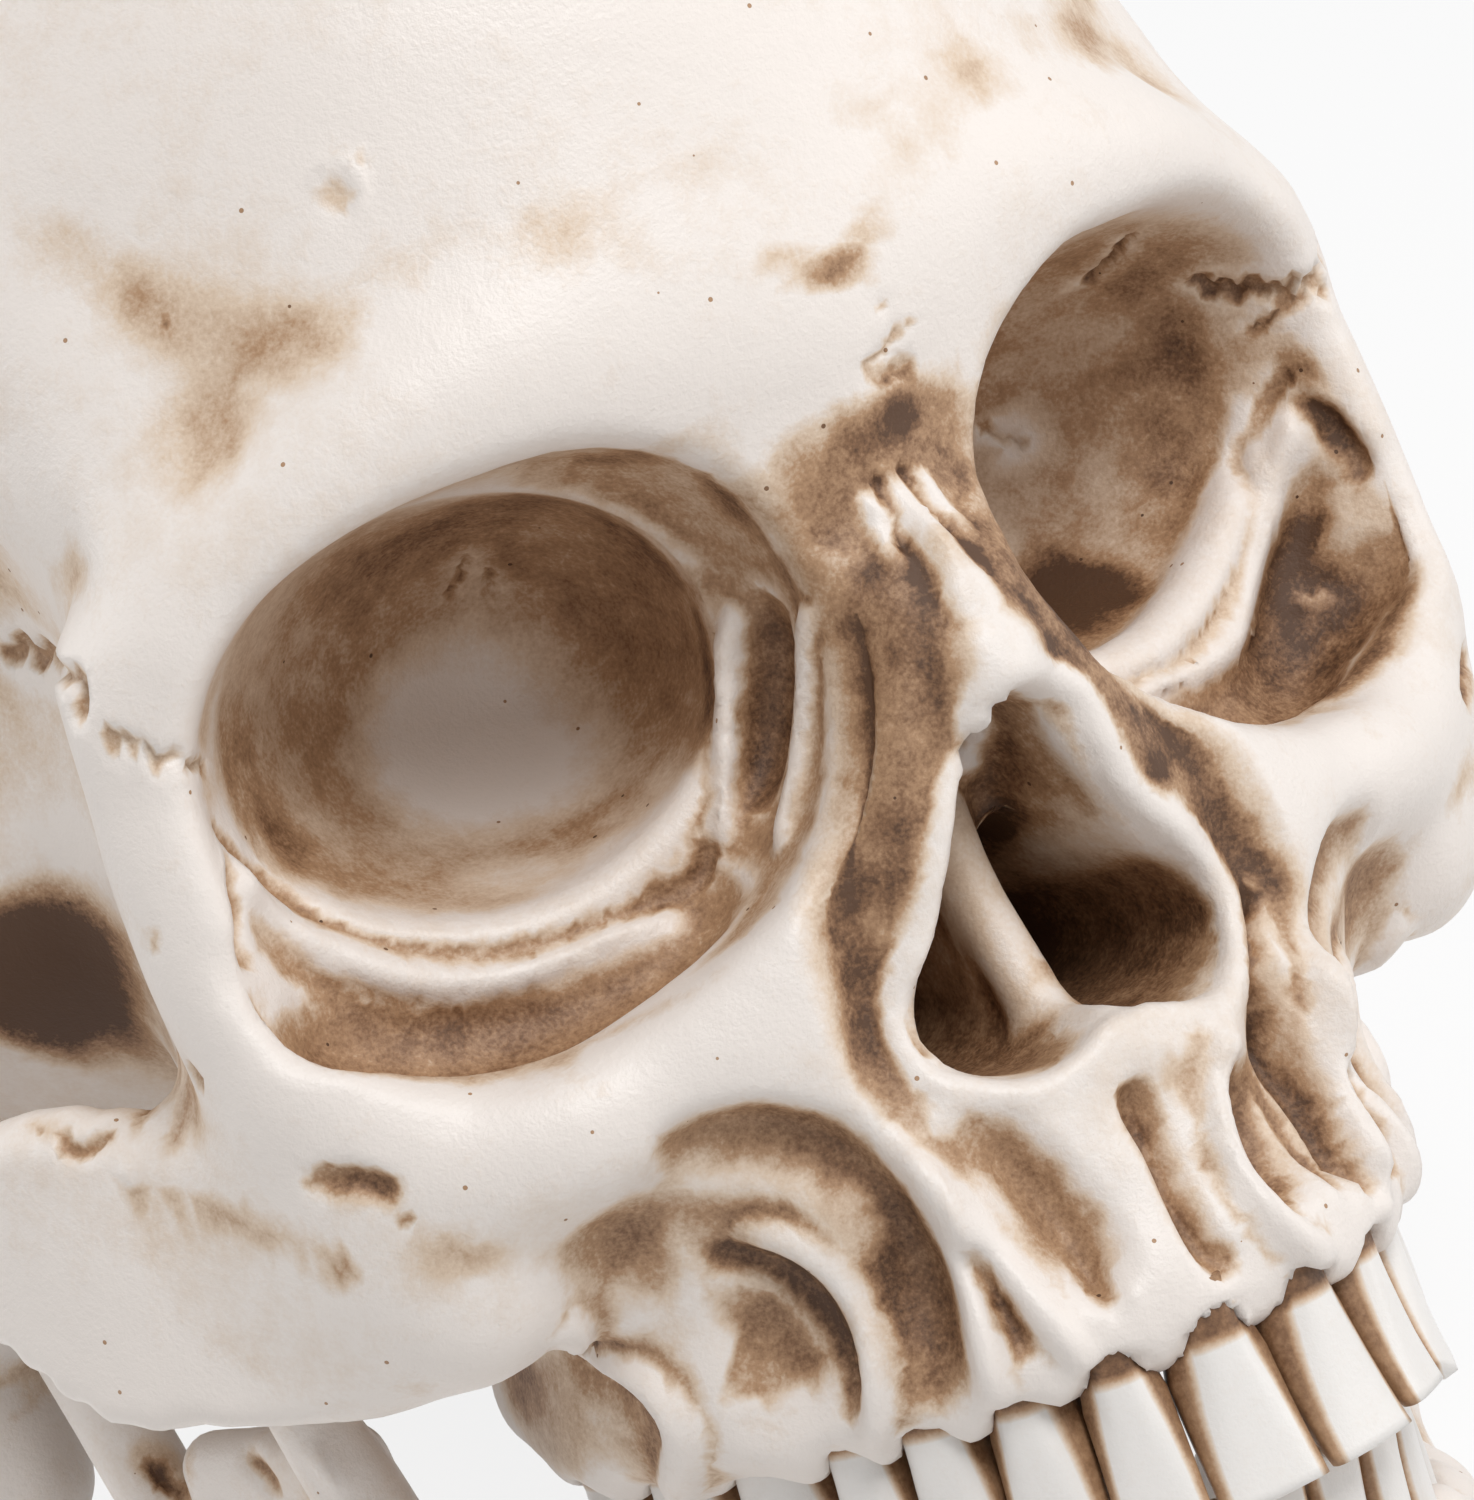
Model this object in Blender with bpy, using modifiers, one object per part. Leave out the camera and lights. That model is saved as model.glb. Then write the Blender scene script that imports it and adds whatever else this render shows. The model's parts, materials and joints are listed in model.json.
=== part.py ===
"""Anatomical skull model, life size: cranium with a lift-off calvarium, hinged mandible and 32 set teeth.

The skull is modelled in its own frame: origin at the nasion (the root of the nose), +X to the subject's
left, +Y back, +Z up. Each bone is a set of lumps (eggs, rods and straps) blended into one skin, and
hollows pressed into it. Places in the share tables are shares of the three driving dimensions.
An empty, skull_model, then leans the whole skull back until it rests on its jaw angles and its occiput.
"""

import math

import bmesh
import bpy
import numpy as np
from mathutils import Matrix, Vector

JAW_SIDES = {"right": -1, "left": 1}

# Driving dimensions, in metres
ORBITS_WIDTH = 0.100      # across the outer rims of both orbits, along X
BASE_LENGTH = 0.100       # nasion to the front of the foramen magnum, along Y
FACE_HEIGHT = 0.100       # nasion to the hollow above the chin, along Z
SIZE = np.array((ORBITS_WIDTH, BASE_LENGTH, FACE_HEIGHT))

# Casting
WALL = 0.0065             # thickness of the cast vault
SEAM_GAP = 0.0003         # between any two pieces that touch
FLAT_DEPTH = 0.0008       # how deep the resting flats are cut
OVERRUN = 0.004           # how far a cutter passes what it cuts
OUTLINE_STEPS = 4         # points worked out for each one given on a curve

# Calvarium seat
MAGNET_RADIUS = 0.0018
MAGNET_HEIGHT = 0.0020
MAGNET_SINK = 0.00015     # how far each magnet's face lies below the cut
DOWEL_RADIUS = 0.0012
DOWEL_LENGTH = 0.0090
SEAT_CLEARANCE = 0.0003   # round each magnet, dowel and pivot in its bore
ROUND_SIDES = 16
MAGNET_BACK_DEGREES = 145 # how far round the two back magnets lie, from the front
DOWEL_DEGREES = 80

# Jaw pivot
PIVOT_RADIUS = 0.0013
PIVOT_LENGTH = 0.0170
PIVOT_HEAD_RADIUS = 0.0024
PIVOT_HEAD_HEIGHT = 0.0012
PIVOT_BORE_SPARE = 0.0010 # how far the condyle's bore runs past the pivot's end
JAW_CLEARANCE = 0.0010    # round the condyle in its fossa

# Teeth
TOOTH_WIDTH = 0.0086      # across the upper central incisor
TOOTH_DEPTH = 0.0072      # its crown, front to back at the gum
ROOT_DEPTH = 0.0040       # how far each tooth is set into its socket
TOOTH_GAP = 0.0003
SOCKET_CLEARANCE = 0.0003
TOOTH_SIDES = 8

# Mesh
middle_share = 0.029      # the skin's first mesh, for pressing the hollows
fine_share = 0.021
MIDDLE_PASSES = 11        # how often the skin is remeshed and settled at each mesh
FINE_PASSES = 2
CAVITY_PASSES = 8
LAST_PASSES = 3           # how often the finished skin is settled again
settle_share = 1.2        # how far a point may move in one pass, per mesh size
TINY = 1e-9               # keeps a division from zero
far_share = 0.2           # past this a distance is taken to the lump's box
CRANIUM_FACES = 4700
CAVITY_FACES = 600
MANDIBLE_FACES = 1500

# Cranium: eggs are centre, radii; rods are x, y, z, radius; straps are x, y, z, half thickness, half height.
# The third entry is how softly the lump blends in, as a share.
cranium_shares = (
    ("egg", ((0, 1.01, 0.20), (0.70, 0.78, 0.71)), 0.10),
    ("egg", ((0, 0.60, 0.24), (0.54, 0.63, 0.66)), 0.16),
    ("egg", ((0, 1.28, -0.17), (0.52, 0.44, 0.44)), 0.12),
    ("egg", ((0.30, 0.80, -0.04), (0.33, 0.30, 0.30)), 0.10),
    ("egg", ((0, 0.48, -0.20), (0.36, 0.40, 0.30)), 0.10),
    # Brow block, then brow and glabella
    ("egg", ((0, 0.36, 0.10), (0.485, 0.36, 0.27)), 0.10),
    ("rod", ((0, 0.065, 0.10, 0.085), (0.15, 0.06, 0.125, 0.07), (0.29, 0.075, 0.115, 0.055),
             (0.39, 0.12, 0.08, 0.048), (0.455, 0.17, 0.03, 0.046), (0.488, 0.205, -0.02, 0.044)), 0.06),
    # Forehead's side edge, the temporal line
    ("rod", ((0.465, 0.195, 0.03, 0.042), (0.435, 0.205, 0.11, 0.04), (0.415, 0.26, 0.22, 0.04),
             (0.42, 0.38, 0.36, 0.055)), 0.07),
    # Outer bar of the orbit
    ("rod", ((0.488, 0.205, -0.02, 0.044), (0.502, 0.205, -0.10, 0.042), (0.505, 0.20, -0.18, 0.044),
             (0.495, 0.19, -0.26, 0.047), (0.475, 0.205, -0.33, 0.055)), 0.03),
    # Outer wall of the orbit, back to the braincase
    ("strap", ((0.505, 0.235, -0.14, 0.038, 0.20), (0.44, 0.33, -0.13, 0.065, 0.21),
               (0.37, 0.47, -0.12, 0.08, 0.24)), 0.05),
    # Floor of the orbit
    ("egg", ((0.32, 0.26, -0.27), (0.18, 0.14, 0.13)), 0.05),
    # Nasal bones
    ("rod", ((0, 0.05, 0.03, 0.05), (0, 0.03, -0.05, 0.045), (0, -0.003, -0.12, 0.043),
             (0, -0.045, -0.18, 0.042), (0, -0.048, -0.20, 0.04)), 0.04),
    # Inner rim of the orbit and side of the nose
    ("rod", ((0.07, 0.07, 0.0, 0.045), (0.075, 0.055, -0.10, 0.045), (0.10, 0.045, -0.20, 0.055),
             (0.16, 0.055, -0.29, 0.065), (0.21, 0.075, -0.37, 0.075)), 0.06),
    ("rod", ((0.055, 0.0, -0.13, 0.035), (0.085, 0.005, -0.22, 0.045), (0.135, 0.03, -0.31, 0.055),
             (0.175, 0.045, -0.40, 0.06), (0.15, 0.035, -0.49, 0.065), (0.05, 0.015, -0.53, 0.065)), 0.05),
    # Lip of the nasal opening
    ("rod", ((0.045, -0.022, -0.21, 0.022), (0.078, -0.018, -0.275, 0.022), (0.108, 0.0, -0.33, 0.022),
             (0.143, 0.005, -0.375, 0.024), (0.15, -0.004, -0.42, 0.025), (0.118, -0.018, -0.465, 0.025),
             (0.055, -0.03, -0.475, 0.024), (0, -0.045, -0.455, 0.024)), 0.018),
    # Lower rim of the orbit
    ("rod", ((0.14, 0.065, -0.31, 0.045), (0.24, 0.075, -0.36, 0.05), (0.35, 0.105, -0.38, 0.055),
             (0.42, 0.148, -0.365, 0.052), (0.475, 0.185, -0.30, 0.05)), 0.05),
    # Cheekbone
    ("egg", ((0.41, 0.19, -0.405), (0.09, 0.065, 0.11)), 0.06),
    ("egg", ((0.475, 0.265, -0.40), (0.07, 0.09, 0.10)), 0.06),
    ("strap", ((0.44, 0.215, -0.425, 0.036, 0.098), (0.51, 0.285, -0.42, 0.035, 0.11),
               (0.59, 0.38, -0.385, 0.034, 0.13), (0.635, 0.49, -0.335, 0.028, 0.08),
               (0.66, 0.60, -0.30, 0.028, 0.05), (0.66, 0.70, -0.31, 0.035, 0.055),
               (0.64, 0.785, -0.375, 0.042, 0.07), (0.60, 0.89, -0.32, 0.05, 0.05)), 0.06),
    # Upper jaw
    ("egg", ((0.17, 0.18, -0.45), (0.16, 0.13, 0.17)), 0.06),
    ("egg", ((0.0, 0.27, -0.44), (0.29, 0.27, 0.20)), 0.07),
    ("rod", ((0, 0.01, -0.53, 0.07), (0.08, 0.02, -0.53, 0.068), (0.15, 0.06, -0.53, 0.064),
             (0.195, 0.13, -0.53, 0.06), (0.235, 0.22, -0.53, 0.06), (0.26, 0.33, -0.53, 0.065),
             (0.27, 0.44, -0.53, 0.065)), 0.05),
    ("rod", ((0, -0.045, -0.622, 0.058), (0.075, -0.037, -0.622, 0.058), (0.145, 0.005, -0.622, 0.058),
             (0.20, 0.075, -0.622, 0.058), (0.24, 0.165, -0.622, 0.058), (0.27, 0.28, -0.622, 0.058),
             (0.28, 0.40, -0.617, 0.058), (0.275, 0.48, -0.60, 0.055)), 0.05),
    # Cheekbone's root on the upper jaw
    ("rod", ((0.265, 0.19, -0.60, 0.05), (0.285, 0.20, -0.53, 0.045), (0.345, 0.205, -0.475, 0.045),
             (0.42, 0.20, -0.46, 0.055)), 0.04),
    # Pterygoid plates
    ("rod", ((0.17, 0.52, -0.40, 0.06), (0.18, 0.54, -0.53, 0.04), (0.20, 0.57, -0.61, 0.028)), 0.04),
    # Skull base
    ("rod", ((0, 0.55, -0.38, 0.13), (0, 0.80, -0.48, 0.12)), 0.06),
    ("rod", ((0.12, 0.72, -0.42, 0.10), (0.34, 0.82, -0.40, 0.11), (0.52, 0.92, -0.34, 0.12)), 0.06),
    # Mastoid and occipital condyle
    ("rod", ((0.55, 1.01, -0.34, 0.12), (0.53, 1.00, -0.48, 0.095), (0.505, 0.97, -0.585, 0.06)), 0.05),
    ("egg", ((0.16, 0.87, -0.57), (0.055, 0.11, 0.055)), 0.04),
)
cranium_hollow_shares = (
    # Temple behind the forehead's edge, palate, choana, infratemporal hollow, ear opening
    ("egg", ((0.63, 0.40, 0.03), (0.16, 0.17, 0.22)), 0.05),
    ("egg", ((0, 0.25, -0.70), (0.19, 0.29, 0.15)), 0.03),
    ("egg", ((0.08, 0.64, -0.46), (0.05, 0.18, 0.09)), 0.03),
    ("egg", ((0.46, 0.50, -0.55), (0.16, 0.21, 0.20)), 0.05),
    ("egg", ((0.66, 0.885, -0.375), (0.09, 0.03, 0.035)), 0.02),
)
# The septum stands in the nasal hollow after that is cut
septum_shares = (
    ("strap", ((0, 0.10, -0.32, 0.018, 0.17), (0, 0.40, -0.32, 0.018, 0.17)), 0.02),
    ("rod", ((0, 0.09, -0.18, 0.02), (0, 0.085, -0.32, 0.02), (0, 0.05, -0.44, 0.022)), 0.02),
)

orbit_rim_shares = (
    (0.087, 0.033, -0.034), (0.139, 0.007, 0.027), (0.226, 0.007, 0.066), (0.328, 0.036, 0.060),
    (0.419, 0.092, 0.023), (0.480, 0.151, -0.034), (0.503, 0.162, -0.125), (0.501, 0.153, -0.215),
    (0.470, 0.107, -0.288), (0.386, 0.060, -0.324), (0.281, 0.025, -0.314), (0.184, 0.013, -0.280),
    (0.114, 0.022, -0.217), (0.073, 0.046, -0.125),
)
ORBIT_TURN = math.radians(15.2)
orbit_centre_share = (0.30, 0.07, -0.13)
orbit_dish_share = 0.11   # how deep the dish inside the rim is
orbit_draw_share = 0.05   # how far the dish draws in by its floor
orbit_lean_share = 0.28
# The deep bowl in the dish: across, depth and height of its middle, and its radii
orbit_bowl_shares = ((0.035, 0.04, -0.088), (0.19, 0.30, 0.152))
orbit_edge_share = 0.022
nose_rim_shares = (
    (0.0, -0.199), (0.032, -0.219), (0.054, -0.281), (0.084, -0.336), (0.121, -0.378),
    (0.129, -0.416), (0.100, -0.446), (0.050, -0.456), (0.0, -0.431),
)
nose_front_share = -0.02
nose_depth_share = 0.36
nose_floor_share = 0.08
nose_edge_share = 0.012

# Braincase cavity, less the wall where it follows the vault
cavity_floor_share = 0.135
cavity_shares = (
    ("egg", ((0, 1.22, -0.12), (0.43, 0.41, 0.36)), 0.08),
    ("egg", ((0.27, 0.74, -0.03), (0.22, 0.22, 0.20)), 0.08),
)
magnum_shares = (("rod", ((0, 1.05, -0.25, 0.15), (0, 1.05, -0.85, 0.16)), 0.03),)
vault_shares = (cranium_shares[0][1], cranium_shares[1][1])
vault_blend_share = cranium_shares[1][2]
cap_cut_share = 0.56

mandible_shares = (
    # Tooth-bearing ridge
    ("rod", ((0, -0.008, -0.915, 0.052), (0.055, -0.002, -0.915, 0.052), (0.115, 0.03, -0.915, 0.052),
             (0.165, 0.085, -0.92, 0.054), (0.205, 0.16, -0.925, 0.056), (0.24, 0.26, -0.93, 0.058),
             (0.27, 0.37, -0.93, 0.058), (0.30, 0.50, -0.93, 0.055)), 0.05),
    ("rod", ((0, 0.0, -1.0, 0.05), (0.11, 0.03, -1.0, 0.05), (0.20, 0.13, -0.99, 0.052),
             (0.27, 0.27, -0.975, 0.055), (0.33, 0.41, -0.95, 0.055)), 0.05),
    # Lower border
    ("rod", ((0, -0.01, -1.10, 0.06), (0.10, 0.01, -1.105, 0.055), (0.20, 0.11, -1.085, 0.05),
             (0.29, 0.25, -1.055, 0.048), (0.37, 0.40, -1.02, 0.047), (0.43, 0.54, -0.975, 0.045),
             (0.455, 0.62, -0.93, 0.045)), 0.05),
    # Chin
    ("egg", ((0, -0.04, -1.085), (0.11, 0.055, 0.06)), 0.05),
    # Ramus: plate, front edge with the coronoid, back edge with the neck, condyle
    ("strap", ((0.43, 0.50, -0.76, 0.028, 0.19), (0.465, 0.66, -0.76, 0.028, 0.20)), 0.04),
    ("rod", ((0.36, 0.46, -0.95, 0.045), (0.41, 0.47, -0.82, 0.036), (0.44, 0.455, -0.67, 0.034),
             (0.465, 0.46, -0.54, 0.03), (0.475, 0.485, -0.45, 0.022)), 0.04),
    ("rod", ((0.455, 0.62, -0.93, 0.04), (0.475, 0.685, -0.80, 0.035), (0.485, 0.735, -0.62, 0.033),
             (0.495, 0.77, -0.48, 0.035)), 0.04),
    ("egg", ((0.495, 0.785, -0.40), (0.10, 0.043, 0.043)), 0.03),
)
condyle_share, condyle_radii_shares = mandible_shares[-1][1]
# The way that the condyle's neck swings as the jaw opens
neck_swing_shares = (
    ("rod", ((0.495, 0.785, -0.42, 0.058), (0.49, 0.82, -0.53, 0.066), (0.48, 0.83, -0.66, 0.066)), 0.01),
)
fossa_edge_share = 0.01
swing_edge_share = 0.02
pivot_face_share = 0.662  # how far out the pivot's head seats on the cheek arch's root

# Tooth rows: the outline of the teeth's front faces at the gum, from the midline back on the left side
upper_row_shares = ((0, -0.110), (0.041, -0.108), (0.110, -0.078), (0.167, -0.028), (0.212, 0.035),
                    (0.245, 0.105), (0.275, 0.19), (0.300, 0.29), (0.312, 0.39), (0.312, 0.55))
lower_row_shares = ((0, -0.072), (0.041, -0.069), (0.100, -0.040), (0.148, 0.008), (0.188, 0.07),
                    (0.220, 0.14), (0.252, 0.235), (0.282, 0.34), (0.305, 0.44), (0.325, 0.60))
upper_gum_share = -0.668
lower_gum_share = -0.885
bite_share = -0.785
# Name: width and depth as shares of the upper central incisor's, crown as a share of gum to bite, and cusps
upper_teeth_shares = {
    "central_incisor": (1.00, 1.00, 1.03, 0), "lateral_incisor": (0.80, 0.90, 0.96, 0),
    "canine": (0.88, 1.12, 1.05, 1), "first_premolar": (0.81, 1.20, 0.98, 2),
    "second_premolar": (0.78, 1.20, 0.98, 2), "first_molar": (1.17, 1.40, 0.98, 4),
    "second_molar": (1.09, 1.36, 0.98, 4), "third_molar": (0.95, 1.25, 0.98, 4),
}
lower_teeth_shares = {
    "central_incisor": (0.61, 0.80, 1.08, 0), "lateral_incisor": (0.67, 0.82, 1.08, 0),
    "canine": (0.79, 1.00, 1.09, 1), "first_premolar": (0.80, 1.04, 0.98, 2),
    "second_premolar": (0.81, 1.10, 0.98, 2), "first_molar": (1.26, 1.30, 0.98, 4),
    "second_molar": (1.19, 1.26, 0.98, 4), "third_molar": (1.10, 1.20, 0.98, 4),
}
# Rings from the root's end to the edge: height (negative: share of the root's depth), width and depth
front_crown_shares = ((-1.0, 0.45, 0.55), (-0.5, 0.54, 0.77), (0.06, 0.64, 1.0), (0.38, 0.82, 0.86),
                      (0.72, 0.95, 0.55), (0.97, 1.0, 0.30))
back_crown_shares = ((-1.0, 0.70, 0.70), (-0.5, 0.80, 0.82), (0.06, 0.84, 0.90), (0.45, 1.0, 1.0),
                     (0.75, 0.96, 0.94), (0.93, 0.80, 0.74))
socket_top_share = 1.1    # how far past the gum a socket is cut
front_lean_share = 0.13   # how far a front tooth's edge stands out, as a share of its crown
front_thinning_share = 0.75  # how much of a crown's thinning is taken from its front face
# Heights on the biting face as shares of the crown
molar_edge_share = 0.88
middle_pit_share = 0.84
premolar_groove_share = 0.84
canine_shoulder_share = 0.84
cusp_spread_share = 0.1   # how near a molar's middle lines its cusps start
# Bulge over each root: radius as a share of the tooth's width, how far in, how long, blend
root_bulge_shares = (0.37, 0.030, 0.12, 0.025)
lower_root_share = 0.6    # how far a lower root goes on inward, per upper root


# Distances to the lumps. A place is a row of x, y, z shares, with x taken on the left side.

def curve_points(knots, closed=False, steps=OUTLINE_STEPS):
    """A smooth curve through the knots, with steps points for each."""
    knots = np.asarray(knots, float)
    count = len(knots)
    points = []
    for i in range(count if closed else count - 1):
        before = knots[(i - 1) % count] if closed or i else knots[0]
        start = knots[i]
        end = knots[(i + 1) % count]
        after = knots[(i + 2) % count] if closed or i + 2 < count else knots[-1]
        for t in np.arange(steps) / steps:
            points.append(0.5 * (2 * start + (end - before) * t
                                 + (2 * before - 5 * start + 4 * end - after) * t**2
                                 + (3 * start - before - 3 * end + after) * t**3))
    if not closed:
        points.append(knots[-1])
    return np.array(points)


def egg_distance(places, egg):
    centre, radii = np.array(egg)
    scaled = (places - centre) / radii
    length = np.sqrt((scaled**2).sum(1)) + TINY
    slope = np.sqrt(((scaled / radii)**2).sum(1)) + TINY
    return length * (length - 1) / slope


def rod_distance(places, knots):
    points = curve_points(knots)
    best = np.full(len(places), np.inf)
    for start, end in zip(points[:-1], points[1:]):
        run = end[:3] - start[:3]
        from_start = places - start[:3]
        along = np.clip(from_start @ run / (run @ run), 0, 1)
        radius = start[3] + (end[3] - start[3]) * along
        off = from_start - along[:, None] * run
        best = np.minimum(best, np.sqrt((off**2).sum(1)) - radius)
    return best


def strap_distance(places, knots):
    points = curve_points(knots)
    best = np.full(len(places), np.inf)
    for start, end in zip(points[:-1], points[1:]):
        run = end[:2] - start[:2]
        from_start = places[:, :2] - start[:2]
        along = np.clip(from_start @ run / (run @ run), 0, 1)
        off = from_start - along[:, None] * run
        middle = start[2:] + (end[2:] - start[2:]) * along[:, None]
        thick, high = middle[:, 1], middle[:, 2]
        above = np.maximum(np.abs(places[:, 2] - middle[:, 0]) - (high - thick), 0)
        best = np.minimum(best, np.sqrt((off**2).sum(1) + above**2) - thick)
    return best


DISTANCES = {"egg": egg_distance, "rod": rod_distance, "strap": strap_distance}


def lump_box(kind, table):
    """The lump's lowest and highest corner."""
    rows = np.array(table)
    if kind == "egg":
        return rows[0] - rows[1], rows[0] + rows[1]
    reach = rows[:, 3:4].max() if kind == "rod" else rows[:, 3:].max()
    return rows[:, :3].min(0) - reach, rows[:, :3].max(0) + reach


def lump_distance(places, kind, table):
    """The exact distance near the lump, and the distance to its box far from it."""
    low, high = lump_box(kind, table)
    outside = np.maximum(np.maximum(low - places, places - high), 0)
    distance = np.sqrt((outside**2).sum(1))
    near = distance < far_share
    distance[near] = DISTANCES[kind](places[near], table)
    return distance


def blend(first, second, softness):
    """The union of two lumps with a fillet."""
    mix = np.clip(0.5 + 0.5 * (second - first) / softness, 0, 1)
    return second * (1 - mix) + first * mix - softness * mix * (1 - mix)


def press(first, second, softness):
    """The first lump with the second taken out of it, the edge rounded."""
    return -blend(-first, second, softness)


def lumps_distance(places, lumps, distance=None):
    for kind, table, softness in lumps:
        lump = lump_distance(places, kind, table)
        distance = lump if distance is None else blend(distance, lump, softness)
    return distance


def outline_distance(across, up, outline):
    """The distance to a closed outline, below zero inside it."""
    best = np.full(len(across), np.inf)
    inside = np.zeros(len(across), bool)
    for (x0, z0), (x1, z1) in zip(outline, np.roll(outline, -1, 0)):
        run_x, run_z = x1 - x0, z1 - z0
        off_x, off_z = across - x0, up - z0
        along = np.clip((off_x * run_x + off_z * run_z) / (run_x**2 + run_z**2), 0, 1)
        best = np.minimum(best, (off_x - run_x * along)**2 + (off_z - run_z * along)**2)
        if z0 != z1:
            inside ^= ((z0 <= up) != (z1 <= up)) & (off_x < off_z * run_x / run_z)
    return np.where(inside, -1, 1) * np.sqrt(best)


def orbit_distance(places):
    """The orbit: a dish inside the rim's outline, and in it the deep bowl, leant to the midline."""
    across_axis = np.array((math.cos(ORBIT_TURN), math.sin(ORBIT_TURN), 0))
    depth_axis = np.array((-math.sin(ORBIT_TURN), math.cos(ORBIT_TURN), 0))
    off = places - np.array(orbit_centre_share)
    rim = curve_points(np.array(orbit_rim_shares) - orbit_centre_share, closed=True, steps=3)
    outline = np.column_stack((rim @ across_axis, rim[:, 2]))
    depth = off @ depth_axis
    across = off @ across_axis
    along = np.clip(depth / orbit_dish_share, 0, 1)
    dish = outline_distance(across, off[:, 2], outline) + orbit_draw_share * (1 - np.sqrt(1 - along**2))
    dish = np.maximum(dish, depth - orbit_dish_share)
    middle, radii = orbit_bowl_shares
    leant = across + orbit_lean_share * np.maximum(depth, 0)
    inside = np.column_stack((leant, np.maximum(depth, middle[1]), places[:, 2]))
    return blend(dish, egg_distance(inside, (middle, radii)), orbit_edge_share)


def nose_distance(places):
    half = curve_points(nose_rim_shares, steps=3)
    outline = np.concatenate((half, (half * (-1, 1))[-2:0:-1]))
    depth = places[:, 1] - nose_front_share
    along = np.clip(depth / nose_depth_share, 0, 1)
    draw = nose_floor_share * (1 - np.sqrt(1 - along**2))
    bowl = outline_distance(places[:, 0], places[:, 2], outline) + draw
    return np.maximum(bowl, depth - nose_depth_share)


def on_left(points):
    """The places on the left side that mirror to these points."""
    return points * np.where(points[:, :1] < 0, (-1, 1, 1), (1, 1, 1))


def step_along(outline, start, chord):
    """The point on the outline a chord's length from start, past it."""
    lengths = np.linalg.norm(outline - start, axis=1)
    past = (outline[1:, 1] > start[1]) & (lengths[1:] >= chord) & (lengths[:-1] < chord)
    index = int(np.argmax(past)) + 1 if past.any() else len(outline) - 1
    share = (chord - lengths[index - 1]) / (lengths[index] - lengths[index - 1])
    toward = outline[index - 1] + share * (outline[index] - outline[index - 1]) - start
    return start + toward * chord / np.linalg.norm(toward)


def row_layout(row):
    """Steps the left half of a row along its outline: one dictionary for each tooth, in metres."""
    outline = curve_points(row["outline"]) * SIZE[:2]
    corner = outline[0] + (TOOTH_GAP / 2, 0)
    crown = abs(bite_share - row["gum"]) * FACE_HEIGHT
    layout = []
    for name, (width, depth, height, cusps) in row["teeth"].items():
        end = step_along(outline, corner, width * TOOTH_WIDTH)
        along = (end - corner) / np.linalg.norm(end - corner)
        layout.append({"name": name, "middle": (corner + end) / 2, "turn": math.atan2(along[1], along[0]),
                       "width": width * TOOTH_WIDTH, "depth": depth * TOOTH_DEPTH,
                       "crown": height * crown, "cusps": cusps})
        corner = end + along * TOOTH_GAP
    turns = [-layout[0]["turn"]] + [tooth["turn"] for tooth in layout] + [layout[-1]["turn"]]
    for tooth, before, turn, after in zip(layout, turns, turns[1:], turns[2:]):
        tooth["wedges"] = ((turn - before) / 2, (after - turn) / 2)
    return layout


def root_bulges(row):
    """The swelling that the jaw has over each root, as rods."""
    radius, inset, length, softness = root_bulge_shares
    up = -row["toward_bite"]
    lumps = []
    for tooth in row_layout(row):
        inward = np.array((-math.sin(tooth["turn"]), math.cos(tooth["turn"])))
        at_gum = tooth["middle"] / SIZE[:2] + inward * inset
        at_end = at_gum + inward * inset * (1 if row is UPPER else lower_root_share)
        thick = radius * tooth["width"] / ORBITS_WIDTH
        ends = ((*at_gum, row["gum"] + up * inset / 2, thick), (*at_end, row["gum"] + up * length, thick))
        lumps.append(("rod", ends, softness))
    return lumps


UPPER = {"name": "upper", "outline": upper_row_shares, "gum": upper_gum_share, "toward_bite": -1,
         "teeth": upper_teeth_shares}
LOWER = {"name": "lower", "outline": lower_row_shares, "gum": lower_gum_share, "toward_bite": 1,
         "teeth": lower_teeth_shares}


def cranium_distance(points):
    places = on_left(points)
    distance = lumps_distance(places, cranium_shares)
    distance = lumps_distance(places, root_bulges(UPPER), distance)
    for kind, table, softness in cranium_hollow_shares:
        distance = press(distance, lump_distance(places, kind, table), softness)
    distance = press(distance, orbit_distance(places), orbit_edge_share)
    distance = press(distance, nose_distance(places), nose_edge_share)
    distance = lumps_distance(places, septum_shares, distance)
    condyle = egg_distance(places, (condyle_share, np.array(condyle_radii_shares) + JAW_CLEARANCE / SIZE))
    distance = press(distance, condyle, fossa_edge_share)
    return press(distance, lumps_distance(places, neck_swing_shares), swing_edge_share)


def cavity_distance(points):
    """The braincase's inside: the vault less its wall, with a floor stepped down from front to back."""
    places = on_left(points)
    inner = [("egg", (centre, np.array(radii) - WALL / SIZE), vault_blend_share)
             for centre, radii in vault_shares]
    distance = np.maximum(lumps_distance(places, inner), cavity_floor_share - places[:, 2])
    distance = lumps_distance(places, cavity_shares, distance)
    return lumps_distance(places, magnum_shares, distance)


def mandible_distance(points):
    places = on_left(points)
    distance = lumps_distance(places, mandible_shares)
    return lumps_distance(places, root_bulges(LOWER), distance)


# Blender objects

def new_collection(name, shown=True):
    collection = bpy.data.collections.new(name)
    collection.hide_render = not shown
    bpy.context.scene.collection.children.link(collection)
    return collection


def new_material(name, colour, roughness, metallic=0.0):
    material = bpy.data.materials.new(name)
    material.use_nodes = True
    shader = material.node_tree.nodes["Principled BSDF"]
    shader.inputs["Base Color"].default_value = (*colour, 1.0)
    shader.inputs["Roughness"].default_value = roughness
    shader.inputs["Metallic"].default_value = metallic
    return material


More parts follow.
